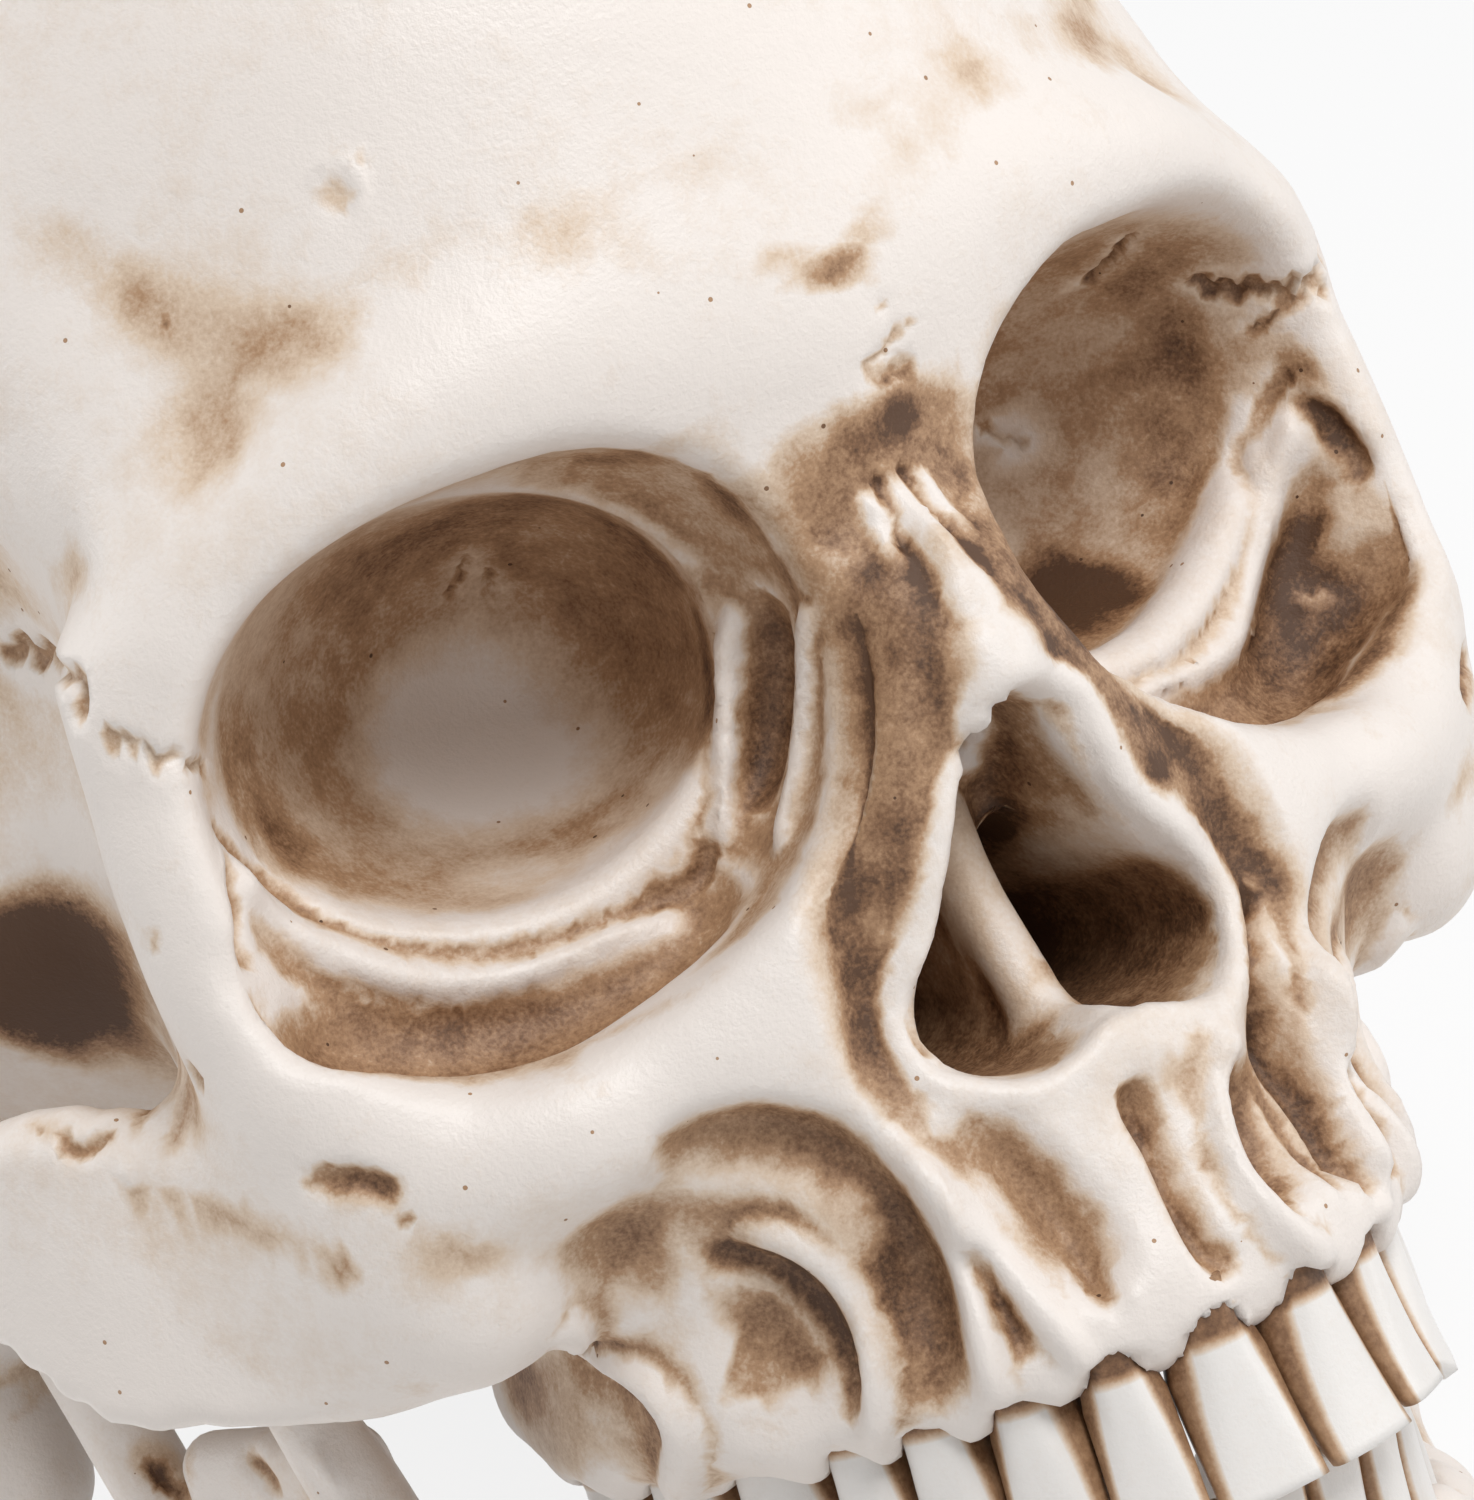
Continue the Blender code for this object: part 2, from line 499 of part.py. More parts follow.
def new_object(name, bm, collection, material=None):
    mesh = bpy.data.meshes.new(name)
    bm.to_mesh(mesh)
    bm.free()
    obj = bpy.data.objects.new(name, mesh)
    collection.objects.link(obj)
    if material:
        mesh.materials.append(material)
        mesh.shade_smooth()
    else:
        obj.hide_render = True
        obj.display_type = "WIRE"
    return obj


def new_empty(name, place, parent=None):
    empty = bpy.data.objects.new(name, None)
    empty.location = place
    empty.parent = parent
    bpy.context.scene.collection.objects.link(empty)
    return empty


def apply_modifiers(obj):
    graph = bpy.context.evaluated_depsgraph_get()
    mesh = bpy.data.meshes.new_from_object(obj.evaluated_get(graph))
    obj.modifiers.clear()
    old = obj.data
    obj.data = mesh
    bpy.data.meshes.remove(old)


def boolean(obj, cutter, operation="DIFFERENCE"):
    modifier = obj.modifiers.new(operation.lower(), "BOOLEAN")
    modifier.operation = operation
    modifier.object = cutter
    apply_modifiers(obj)


def remesh(obj, voxel):
    modifier = obj.modifiers.new("even mesh", "REMESH")
    modifier.mode = "VOXEL"
    modifier.voxel_size = voxel
    apply_modifiers(obj)


def settle(obj, distance, most):
    """Moves each vertex along its normal onto the form, by most at the furthest."""
    mesh = obj.data
    places = np.empty(len(mesh.vertices) * 3, np.float32)
    normals = np.empty(len(mesh.vertices) * 3, np.float32)
    mesh.vertices.foreach_get("co", places)
    mesh.vertex_normals.foreach_get("vector", normals)
    places = places.reshape(-1, 3).astype(float)
    move = np.clip(distance(places), -most, most)
    places -= normals.reshape(-1, 3) * move[:, None]
    mesh.vertices.foreach_set("co", places.astype(np.float32).ravel())
    mesh.update()


def add_ball(bm, centre, radii):
    matrix = Matrix.Translation(centre) @ Matrix.Diagonal((*radii, 1))
    bmesh.ops.create_icosphere(bm, subdivisions=2, radius=1, matrix=matrix)


def blank(lumps):
    """Balls along each lump on both sides: the rough shape that the skin starts from."""
    bm = bmesh.new()
    for kind, table, _ in lumps:
        rows = [table] if kind == "egg" else curve_points(table)
        for row in rows:
            centre, radii = row if kind == "egg" else (row[:3], (row[3], row[3], row[-1]))
            for side in JAW_SIDES.values():
                add_ball(bm, (side * centre[0], centre[1], centre[2]), radii)
    return bm


def skin(name, lumps, distance, passes, faces, collection, material):
    """One closed skin on a form: a blank, pressed and remeshed ever finer, then thinned to its face count."""
    obj = new_object(name, blank(lumps), collection, material)
    for voxel, count in passes:
        for _ in range(count):
            remesh(obj, voxel)
            settle(obj, distance, settle_share * voxel)
    for _ in range(LAST_PASSES):
        settle(obj, distance, voxel)
    thin = obj.modifiers.new("thin", "DECIMATE")
    thin.ratio = min(1, faces / (2 * len(obj.data.polygons)))
    thin.use_collapse_triangulate = True
    apply_modifiers(obj)
    settle(obj, distance, voxel)
    obj.data.transform(Matrix.Diagonal((*SIZE, 1)))
    return obj


def box(name, low, high, collection):
    bm = bmesh.new()
    low, high = Vector(low), Vector(high)
    matrix = Matrix.Translation((low + high) / 2) @ Matrix.Diagonal((*(high - low), 1))
    bmesh.ops.create_cube(bm, size=1, matrix=matrix)
    return new_object(name, bm, collection)


def cylinder(name, start, end, radius, collection, material=None):
    """A round piece or cutter from start to end."""
    start, end = Vector(start), Vector(end)
    turn = (end - start).to_track_quat("Z", "Y").to_matrix().to_4x4()
    bm = bmesh.new()
    bmesh.ops.create_cone(bm, cap_ends=True, segments=ROUND_SIDES, radius1=radius, radius2=radius,
                          depth=(end - start).length, matrix=Matrix.Translation((start + end) / 2) @ turn)
    return new_object(name, bm, collection, material)


def joined(name, objects):
    """The first object with the others' bodies added to it."""
    for other in objects[1:]:
        boolean(objects[0], other, "UNION")
        bpy.data.objects.remove(other)
    objects[0].name = name
    return objects[0]


# Teeth

def tooth_rings(cusps):
    return back_crown_shares if cusps > 1 else front_crown_shares


def tooth_height(cusps, ring_height, across, inward, at_edge):
    """The height of a point of the crown, with cusps on its last ring and a hollow or a tip in its middle."""
    if not at_edge:
        return ring_height
    if cusps == 4:
        return 1.0 if abs(across * inward) > cusp_spread_share else molar_edge_share
    if cusps == 2:
        return premolar_groove_share + (1 - premolar_groove_share) * abs(inward)
    if cusps == 1:
        return canine_shoulder_share
    return ring_height


def tooth_mesh(tooth, rings, grow=0.0, side=1, toward_bite=-1):
    """A tooth in its own frame: X along the row, Y inward from its front face, Z up, origin at the gum."""
    bm = bmesh.new()
    bmesh.ops.create_uvsphere(bm, u_segments=TOOTH_SIDES, v_segments=len(rings) + 1, radius=1)
    for vertex in bm.verts:
        level = round(math.acos(max(-1, min(1, vertex.co.z))) / math.pi * (len(rings) + 1))
        last = level in (0, 1)
        height, width, depth = rings[max(0, min(len(rings) - 1, len(rings) - level))]
        if level in (0, len(rings) + 1):
            across = inward = 0.0
        else:
            turn = math.atan2(vertex.co.y, vertex.co.x)
            square = (abs(math.cos(turn))**3 + abs(math.sin(turn))**3)**(-1 / 3)
            across, inward = square * math.cos(turn), square * math.sin(turn)
        if not grow:
            height = tooth_height(tooth["cusps"], height, across, inward, last)
        if level == 0 and not grow:
            height = 1.0 if tooth["cusps"] < 2 else middle_pit_share
        front = (front_thinning_share if height > 0 else 1) * (1 - depth)
        x = across * width * tooth["width"] / 2
        y = (1 + inward * depth - front) * tooth["depth"] / 2
        wedge = tooth["wedges"][1 if x > 0 else 0]
        x -= math.copysign(min(abs(x), max(0, y) * math.tan(wedge)), x)
        x += math.copysign(grow, x) if across else 0
        y += grow * inward
        z = height * tooth["crown"] if height > 0 else height * (ROOT_DEPTH + grow)
        if tooth["cusps"] < 2 and height > 0:
            y -= front_lean_share * tooth["crown"] * height**2
        vertex.co = (side * x, y, toward_bite * z)
    if side * toward_bite < 0:
        bmesh.ops.reverse_faces(bm, faces=bm.faces)
    return bm


def tooth_matrix(tooth, row, side):
    place = Vector((side * tooth["middle"][0], tooth["middle"][1], row["gum"] * FACE_HEIGHT))
    return Matrix.Translation(place) @ Matrix.Rotation(side * tooth["turn"], 4, "Z")


def make_teeth(row, parent, collection, material):
    for side_name, side in JAW_SIDES.items():
        for tooth in row_layout(row):
            name = f"{row['name']}_{side_name}_{tooth['name']}"
            bm = tooth_mesh(tooth, tooth_rings(tooth["cusps"]), 0.0, side, row["toward_bite"])
            obj = new_object(name, bm, collection, material)
            obj.parent = parent
            obj.matrix_local = Matrix.Translation(-parent_offset(parent)) @ tooth_matrix(tooth, row, side)


def parent_offset(parent):
    return parent.location if parent.parent else Vector()


def cut_sockets(bone, row, cutters):
    """Cuts the sockets in two turns, every other tooth each time, because neighbours' cutters overlap."""
    for turn in (0, 1):
        bm = bmesh.new()
        for side_place, side in enumerate(JAW_SIDES.values()):
            for tooth in row_layout(row)[(turn + side_place) % 2::2]:
                bottom, _, gum, crown, *_ = tooth_rings(tooth["cusps"])
                rings = (bottom, gum, crown, (socket_top_share, *crown[1:]))
                part = tooth_mesh(tooth, rings, SOCKET_CLEARANCE, side, row["toward_bite"])
                part.transform(tooth_matrix(tooth, row, side))
                piece = bpy.data.meshes.new("socket")
                part.to_mesh(piece)
                part.free()
                bm.from_mesh(piece)
                bpy.data.meshes.remove(piece)
        boolean(bone, new_object(f"{row['name']}_sockets_{turn}", bm, cutters))


# Bones

def make_bones(collection, cutters, resin):
    passes = ((middle_share, MIDDLE_PASSES), (fine_share, FINE_PASSES))
    base = skin("cranium_base", cranium_shares, cranium_distance, passes, CRANIUM_FACES, collection, resin)
    cavity_lumps = (*cavity_shares, *(("egg", egg, 0) for egg in vault_shares), *magnum_shares)
    cavity = skin("braincase_cavity", cavity_lumps, cavity_distance,
                  ((middle_share, CAVITY_PASSES),), CAVITY_FACES, cutters, None)
    mandible = skin("mandible", mandible_shares, mandible_distance, passes, MANDIBLE_FACES,
                    collection, resin)
    boolean(base, cavity)
    calvarium = base.copy()
    calvarium.data = base.data.copy()
    calvarium.name = "calvarium"
    collection.objects.link(calvarium)
    cut = cap_cut_share * FACE_HEIGHT
    reach = 3 * SIZE
    boolean(base, box("above_cut", (-reach[0], -reach[1], cut), reach, cutters))
    boolean(calvarium, box("below_cut", -reach, (reach[0], reach[1], cut + SEAM_GAP), cutters))
    cut_sockets(base, UPPER, cutters)
    cut_sockets(mandible, LOWER, cutters)
    return base, calvarium, mandible


def rim_place(egg, degrees):
    """A point midway through one vault egg's wall, on the cut, turned from the front toward the left."""
    centre, radii = np.array(egg)
    level = cap_cut_share - centre[2]
    outer = radii[:2] * math.sqrt(1 - (level / radii[2])**2)
    inner_radii = radii - WALL / SIZE
    inner = inner_radii[:2] * math.sqrt(1 - (level / inner_radii[2])**2)
    turn = math.radians(degrees)
    middle = centre[:2] + (outer + inner) / 2 * (math.sin(turn), -math.cos(turn))
    return Vector((*(middle * SIZE[:2]), cap_cut_share * FACE_HEIGHT))


def along_z(place, low, high):
    return place + Vector((0, 0, low)), place + Vector((0, 0, high))


def seat_hardware(base, calvarium, base_parent, cap_parent, collection, cutters, steel):
    """Magnet pairs and locating dowels in the rim, each in a bore cut from its own size."""
    bore = MAGNET_RADIUS + SEAT_CLEARANCE
    sunk = MAGNET_SINK + MAGNET_HEIGHT
    back, front = vault_shares
    magnets = {"front": rim_place(front, 0), "right": rim_place(back, -MAGNET_BACK_DEGREES),
               "left": rim_place(back, MAGNET_BACK_DEGREES)}
    for name, place in magnets.items():
        top = place + Vector((0, 0, SEAM_GAP))
        below = along_z(place, -sunk - SEAT_CLEARANCE, OVERRUN)
        above = along_z(top, -OVERRUN, sunk + SEAT_CLEARANCE)
        boolean(base, cylinder("magnet_bore", *below, bore, cutters))
        boolean(calvarium, cylinder("magnet_bore", *above, bore, cutters))
        lower = cylinder(f"cranium_magnet_{name}", *along_z(place, -sunk, -MAGNET_SINK), MAGNET_RADIUS,
                         collection, steel)
        upper = cylinder(f"calvarium_magnet_{name}", *along_z(top, MAGNET_SINK, sunk), MAGNET_RADIUS,
                         collection, steel)
        place_under(lower, base_parent)
        place_under(upper, cap_parent)
    for name, side in JAW_SIDES.items():
        place = rim_place(back, side * DOWEL_DEGREES)
        half = DOWEL_LENGTH / 2
        clear = half + SEAT_CLEARANCE
        hole = DOWEL_RADIUS + SEAT_CLEARANCE
        for bone in (base, calvarium):
            boolean(bone, cylinder("dowel_bore", *along_z(place, -clear, clear), hole, cutters))
        dowel = cylinder(f"locating_dowel_{name}", *along_z(place, -half, half), DOWEL_RADIUS,
                         collection, steel)
        place_under(dowel, base_parent)


def place_under(obj, parent):
    """Parents an object whose mesh is in the skull's frame."""
    obj.parent = parent
    obj.location = -parent_offset(parent)


def jaw_axis_place():
    return Vector((0, *(np.array(condyle_share)[1:] * SIZE[1:])))


def make_pivots(base, mandible, parent, collection, cutters, steel):
    """A headed pivot through each cheek arch's root into the condyle, on the jaw's axis."""
    axis = jaw_axis_place()
    face = pivot_face_share * ORBITS_WIDTH
    for side_name, side in JAW_SIDES.items():
        def at(distance_out):
            return axis + Vector((side * distance_out, 0, 0))
        clear = PIVOT_RADIUS + SEAT_CLEARANCE
        seat = PIVOT_HEAD_RADIUS + SEAT_CLEARANCE
        boolean(base, cylinder("pivot_seat", at(face), at(face + OVERRUN), seat, cutters))
        condyle_middle = condyle_share[0] * ORBITS_WIDTH
        boolean(base, cylinder("pivot_bore", at(condyle_middle), at(face + OVERRUN), clear, cutters))
        inner_end = at(face - PIVOT_LENGTH - PIVOT_BORE_SPARE)
        boolean(mandible, cylinder("pivot_bore", inner_end, at(face + OVERRUN), clear, cutters))
        shank = cylinder("shank", at(face - PIVOT_LENGTH), at(face + SEAM_GAP + PIVOT_HEAD_HEIGHT / 2),
                         PIVOT_RADIUS, collection, steel)
        head = cylinder("head", at(face + SEAM_GAP), at(face + SEAM_GAP + PIVOT_HEAD_HEIGHT),
                        PIVOT_HEAD_RADIUS, collection, steel)
        pivot = joined(f"jaw_pivot_{side_name}", [shank, head])
        place_under(pivot, parent)


# Resting pose

def mesh_points(obj):
    points = np.empty(len(obj.data.vertices) * 3, np.float32)
    obj.data.vertices.foreach_get("co", points)
    return points.reshape(-1, 3).astype(float)


def rest_lean(base, mandible):
    """The lean at which the jaw's angles and the occiput reach the table together, and its level."""
    jaw, cranium = mesh_points(mandible), mesh_points(base)
    least, most = math.radians(-60), 0.0
    for _ in range(40):
        lean = (least + most) / 2
        up = np.array((0, math.sin(lean), math.cos(lean)))
        if (jaw @ up).min() < (cranium @ up).min():
            most = lean
        else:
            least = lean
    return lean, (jaw @ up).min() + FLAT_DEPTH


def cut_flats(bones, lean, level, cutters):
    """Takes off what lies below the table."""
    reach = 3 * SIZE.max()
    under = box("under_table", (-reach, -reach, level - reach), (reach, reach, level), cutters)
    under.data.transform(Matrix.Rotation(-lean, 4, "X"))
    for bone in bones:
        boolean(bone, under)


def main():
    for obj in list(bpy.data.objects):
        bpy.data.objects.remove(obj)
    parts = new_collection("anatomical_skull_model")
    cutters = new_collection("cutters", shown=False)
    resin = new_material("cast_resin", (0.76, 0.68, 0.58), 0.55)
    enamel = new_material("tooth_enamel", (0.86, 0.82, 0.74), 0.35)
    steel = new_material("brushed_steel", (0.62, 0.61, 0.60), 0.35, 1.0)

    base, calvarium, mandible = make_bones(parts, cutters, resin)
    skull = new_empty("skull_model", (0, 0, 0))
    jaw_axis = new_empty("jaw_axis", jaw_axis_place(), skull)
    cap_seat = new_empty("calvarium_seat", (0, 0, cap_cut_share * FACE_HEIGHT), skull)
    seat_hardware(base, calvarium, skull, cap_seat, parts, cutters, steel)
    make_pivots(base, mandible, skull, parts, cutters, steel)
    lean, level = rest_lean(base, mandible)
    cut_flats((base, mandible), lean, level, cutters)
    place_under(base, skull)
    place_under(calvarium, cap_seat)
    place_under(mandible, jaw_axis)
    make_teeth(UPPER, skull, parts, enamel)
    make_teeth(LOWER, jaw_axis, parts, enamel)

    skull.rotation_euler.x = lean
    bpy.context.view_layer.update()
    corners = np.concatenate([mesh_points(obj) @ np.array(obj.matrix_world)[:3, :3].T
                              + np.array(obj.matrix_world)[:3, 3] for obj in parts.objects])
    middle = (corners.min(0) + corners.max(0)) / 2
    skull.location = (-middle[0], -middle[1], -level)
    bpy.context.view_layer.update()
    up = skull.matrix_world.to_3x3() @ Vector((0, 0, 1))
    print("lean in degrees", round(math.degrees(lean), 3))
    print("skull frame's origin", tuple(round(v, 6) for v in skull.matrix_world.translation))
    print("jaw axis at", tuple(round(v, 6) for v in jaw_axis.matrix_world.translation))
    print("calvarium seat at", tuple(round(v, 6) for v in cap_seat.matrix_world.translation))
    print("calvarium lifts along", tuple(round(v, 6) for v in up))
    for obj in parts.objects:
        print(obj.name, "triangles", sum(len(polygon.vertices) - 2 for polygon in obj.data.polygons))


main()
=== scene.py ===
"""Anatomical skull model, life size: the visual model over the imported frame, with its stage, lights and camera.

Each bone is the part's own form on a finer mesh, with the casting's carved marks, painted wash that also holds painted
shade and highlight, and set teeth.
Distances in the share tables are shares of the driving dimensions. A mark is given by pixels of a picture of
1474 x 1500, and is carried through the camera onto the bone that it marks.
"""

import json
import math

import bmesh
import bpy
import numpy as np
from mathutils import Matrix, Vector
from mathutils.bvhtree import BVHTree


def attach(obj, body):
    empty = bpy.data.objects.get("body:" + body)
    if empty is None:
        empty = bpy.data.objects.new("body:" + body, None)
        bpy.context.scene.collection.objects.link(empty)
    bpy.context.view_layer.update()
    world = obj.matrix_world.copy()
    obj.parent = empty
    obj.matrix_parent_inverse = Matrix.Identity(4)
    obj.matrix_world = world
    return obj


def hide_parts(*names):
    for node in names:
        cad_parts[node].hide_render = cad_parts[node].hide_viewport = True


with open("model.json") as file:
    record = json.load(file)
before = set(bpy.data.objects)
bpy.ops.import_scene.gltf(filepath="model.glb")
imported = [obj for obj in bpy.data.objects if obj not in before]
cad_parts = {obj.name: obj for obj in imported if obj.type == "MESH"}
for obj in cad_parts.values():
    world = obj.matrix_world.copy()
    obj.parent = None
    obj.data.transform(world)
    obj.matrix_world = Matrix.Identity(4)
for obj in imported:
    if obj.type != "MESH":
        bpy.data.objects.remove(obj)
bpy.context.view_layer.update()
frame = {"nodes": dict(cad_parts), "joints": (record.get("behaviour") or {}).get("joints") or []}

bl_info = {
    "name": "Anatomical skull model",
    "version": (1, 0, 0),
    "blender": (4, 5, 0),
    "location": "View3D > Sidebar > Skull",
    "description": "Builds the cast skull's bones, teeth and fittings over its frame",
    "category": "Object",
}

JAW_SIDES = {"right": -1, "left": 1}

# Driving dimensions, in metres
ORBITS_WIDTH = 0.100      # across the outer rims of both orbits, along X
BASE_LENGTH = 0.100       # nasion to the front of the foramen magnum, along Y
FACE_HEIGHT = 0.100       # nasion to the hollow above the chin, along Z
SIZE = np.array((ORBITS_WIDTH, BASE_LENGTH, FACE_HEIGHT))

# Casting
WALL = 0.0065             # thickness of the cast vault
SEAM_GAP = 0.0003         # between any two pieces that touch
OVERRUN = 0.004           # how far a cutter passes what it cuts
OUTLINE_STEPS = 4         # points worked out for each one given on a curve

# Fittings
SEAT_CLEARANCE = 0.0003   # round each magnet, dowel and pivot in its bore

# Jaw pivot
PIVOT_HEAD_HEIGHT = 0.0012
JAW_CLEARANCE = 0.0010    # round the condyle in its fossa

# Teeth
TOOTH_WIDTH = 0.0086      # across the upper central incisor
TOOTH_DEPTH = 0.0072      # its crown, front to back at the gum
ROOT_DEPTH = 0.0040       # how far each tooth is set into its socket
TOOTH_GAP = 0.0003
SOCKET_CLEARANCE = 0.0003
TOOTH_SIDES = 8

# Mesh
middle_share = 0.029      # the skin's first mesh, for pressing the hollows
fine_share = 0.021
MIDDLE_PASSES = 11        # how often the skin is remeshed and settled at each mesh
CAVITY_PASSES = 8
settle_share = 1.2        # how far a point may move in one pass, per mesh size
TINY = 1e-9               # keeps a division from zero
far_share = 0.2           # past this a distance is taken to the lump's box

# Cranium: eggs are centre, radii; rods are x, y, z, radius; straps are x, y, z, half thickness, half height.
# The third entry is how softly the lump blends in, as a share.
cranium_shares = (
    ("egg", ((0, 1.01, 0.20), (0.70, 0.78, 0.71)), 0.10),
    ("egg", ((0, 0.60, 0.24), (0.54, 0.63, 0.66)), 0.16),
    ("egg", ((0, 1.28, -0.17), (0.52, 0.44, 0.44)), 0.12),
    ("egg", ((0.30, 0.80, -0.04), (0.33, 0.30, 0.30)), 0.10),
    ("egg", ((0, 0.48, -0.20), (0.36, 0.40, 0.30)), 0.10),
    # Brow block, then brow and glabella
    ("egg", ((0, 0.36, 0.10), (0.485, 0.36, 0.27)), 0.10),
    ("rod", ((0, 0.065, 0.10, 0.085), (0.15, 0.06, 0.125, 0.07), (0.29, 0.075, 0.115, 0.055),
             (0.39, 0.12, 0.08, 0.048), (0.455, 0.17, 0.03, 0.046), (0.488, 0.205, -0.02, 0.044)), 0.06),
    # Forehead's side edge, the temporal line
    ("rod", ((0.465, 0.195, 0.03, 0.042), (0.435, 0.205, 0.11, 0.04), (0.415, 0.26, 0.22, 0.04),
             (0.42, 0.38, 0.36, 0.055)), 0.07),
    # Outer bar of the orbit
    ("rod", ((0.488, 0.205, -0.02, 0.044), (0.502, 0.205, -0.10, 0.042), (0.505, 0.20, -0.18, 0.044),
             (0.495, 0.19, -0.26, 0.047), (0.475, 0.205, -0.33, 0.055)), 0.03),
    # Outer wall of the orbit, back to the braincase
    ("strap", ((0.505, 0.235, -0.14, 0.038, 0.20), (0.44, 0.33, -0.13, 0.065, 0.21),
               (0.37, 0.47, -0.12, 0.08, 0.24)), 0.05),
    # Floor of the orbit
    ("egg", ((0.32, 0.26, -0.27), (0.18, 0.14, 0.13)), 0.05),
    # Nasal bones
    ("rod", ((0, 0.05, 0.03, 0.05), (0, 0.03, -0.05, 0.045), (0, -0.003, -0.12, 0.043),
             (0, -0.045, -0.18, 0.042), (0, -0.048, -0.20, 0.04)), 0.04),
    # Inner rim of the orbit and side of the nose
    ("rod", ((0.07, 0.07, 0.0, 0.045), (0.075, 0.055, -0.10, 0.045), (0.10, 0.045, -0.20, 0.055),
             (0.16, 0.055, -0.29, 0.065), (0.21, 0.075, -0.37, 0.075)), 0.06),
    ("rod", ((0.055, 0.0, -0.13, 0.035), (0.085, 0.005, -0.22, 0.045), (0.135, 0.03, -0.31, 0.055),
             (0.175, 0.045, -0.40, 0.06), (0.15, 0.035, -0.49, 0.065), (0.05, 0.015, -0.53, 0.065)), 0.05),
    # Lip of the nasal opening
    ("rod", ((0.045, -0.022, -0.21, 0.022), (0.078, -0.018, -0.275, 0.022), (0.108, 0.0, -0.33, 0.022),
             (0.143, 0.005, -0.375, 0.024), (0.15, -0.004, -0.42, 0.025), (0.118, -0.018, -0.465, 0.025),
             (0.055, -0.03, -0.475, 0.024), (0, -0.045, -0.455, 0.024)), 0.018),
    # Lower rim of the orbit
    ("rod", ((0.14, 0.065, -0.31, 0.045), (0.24, 0.075, -0.36, 0.05), (0.35, 0.105, -0.38, 0.055),
             (0.42, 0.148, -0.365, 0.052), (0.475, 0.185, -0.30, 0.05)), 0.05),
    # Cheekbone
    ("egg", ((0.41, 0.19, -0.405), (0.09, 0.065, 0.11)), 0.06),
    ("egg", ((0.475, 0.265, -0.40), (0.07, 0.09, 0.10)), 0.06),
    ("strap", ((0.44, 0.215, -0.425, 0.036, 0.098), (0.51, 0.285, -0.42, 0.035, 0.11),
               (0.59, 0.38, -0.385, 0.034, 0.13), (0.635, 0.49, -0.335, 0.028, 0.08),
               (0.66, 0.60, -0.30, 0.028, 0.05), (0.66, 0.70, -0.31, 0.035, 0.055),
               (0.64, 0.785, -0.375, 0.042, 0.07), (0.60, 0.89, -0.32, 0.05, 0.05)), 0.06),
    # Upper jaw
    ("egg", ((0.17, 0.18, -0.45), (0.16, 0.13, 0.17)), 0.06),
    ("egg", ((0.0, 0.27, -0.44), (0.29, 0.27, 0.20)), 0.07),
    ("rod", ((0, 0.01, -0.53, 0.07), (0.08, 0.02, -0.53, 0.068), (0.15, 0.06, -0.53, 0.064),
             (0.195, 0.13, -0.53, 0.06), (0.235, 0.22, -0.53, 0.06), (0.26, 0.33, -0.53, 0.065),
             (0.27, 0.44, -0.53, 0.065)), 0.05),
    ("rod", ((0, -0.045, -0.622, 0.058), (0.075, -0.037, -0.622, 0.058), (0.145, 0.005, -0.622, 0.058),
             (0.20, 0.075, -0.622, 0.058), (0.24, 0.165, -0.622, 0.058), (0.27, 0.28, -0.622, 0.058),
             (0.28, 0.40, -0.617, 0.058), (0.275, 0.48, -0.60, 0.055)), 0.05),
    # Cheekbone's root on the upper jaw
    ("rod", ((0.265, 0.19, -0.60, 0.05), (0.285, 0.20, -0.53, 0.045), (0.345, 0.205, -0.475, 0.045),
             (0.42, 0.20, -0.46, 0.055)), 0.04),
    # Pterygoid plates
    ("rod", ((0.17, 0.52, -0.40, 0.06), (0.18, 0.54, -0.53, 0.04), (0.20, 0.57, -0.61, 0.028)), 0.04),
    # Skull base
    ("rod", ((0, 0.55, -0.38, 0.13), (0, 0.80, -0.48, 0.12)), 0.06),
    ("rod", ((0.12, 0.72, -0.42, 0.10), (0.34, 0.82, -0.40, 0.11), (0.52, 0.92, -0.34, 0.12)), 0.06),
    # Mastoid and occipital condyle
    ("rod", ((0.55, 1.01, -0.34, 0.12), (0.53, 1.00, -0.48, 0.095), (0.505, 0.97, -0.585, 0.06)), 0.05),
    ("egg", ((0.16, 0.87, -0.57), (0.055, 0.11, 0.055)), 0.04),
)
cranium_hollow_shares = (
    # Temple behind the forehead's edge, palate, choana, infratemporal hollow, ear opening
    ("egg", ((0.63, 0.40, 0.03), (0.16, 0.17, 0.22)), 0.05),
    ("egg", ((0, 0.25, -0.70), (0.19, 0.29, 0.15)), 0.03),
    ("egg", ((0.08, 0.64, -0.46), (0.05, 0.18, 0.09)), 0.03),
    ("egg", ((0.46, 0.50, -0.55), (0.16, 0.21, 0.20)), 0.05),
    ("egg", ((0.66, 0.885, -0.375), (0.09, 0.03, 0.035)), 0.02),
)
# The septum stands in the nasal hollow after that is cut
septum_shares = (
    ("strap", ((0, 0.10, -0.32, 0.018, 0.17), (0, 0.40, -0.32, 0.018, 0.17)), 0.02),
    ("rod", ((0, 0.09, -0.18, 0.02), (0, 0.085, -0.32, 0.02), (0, 0.05, -0.44, 0.022)), 0.02),
)

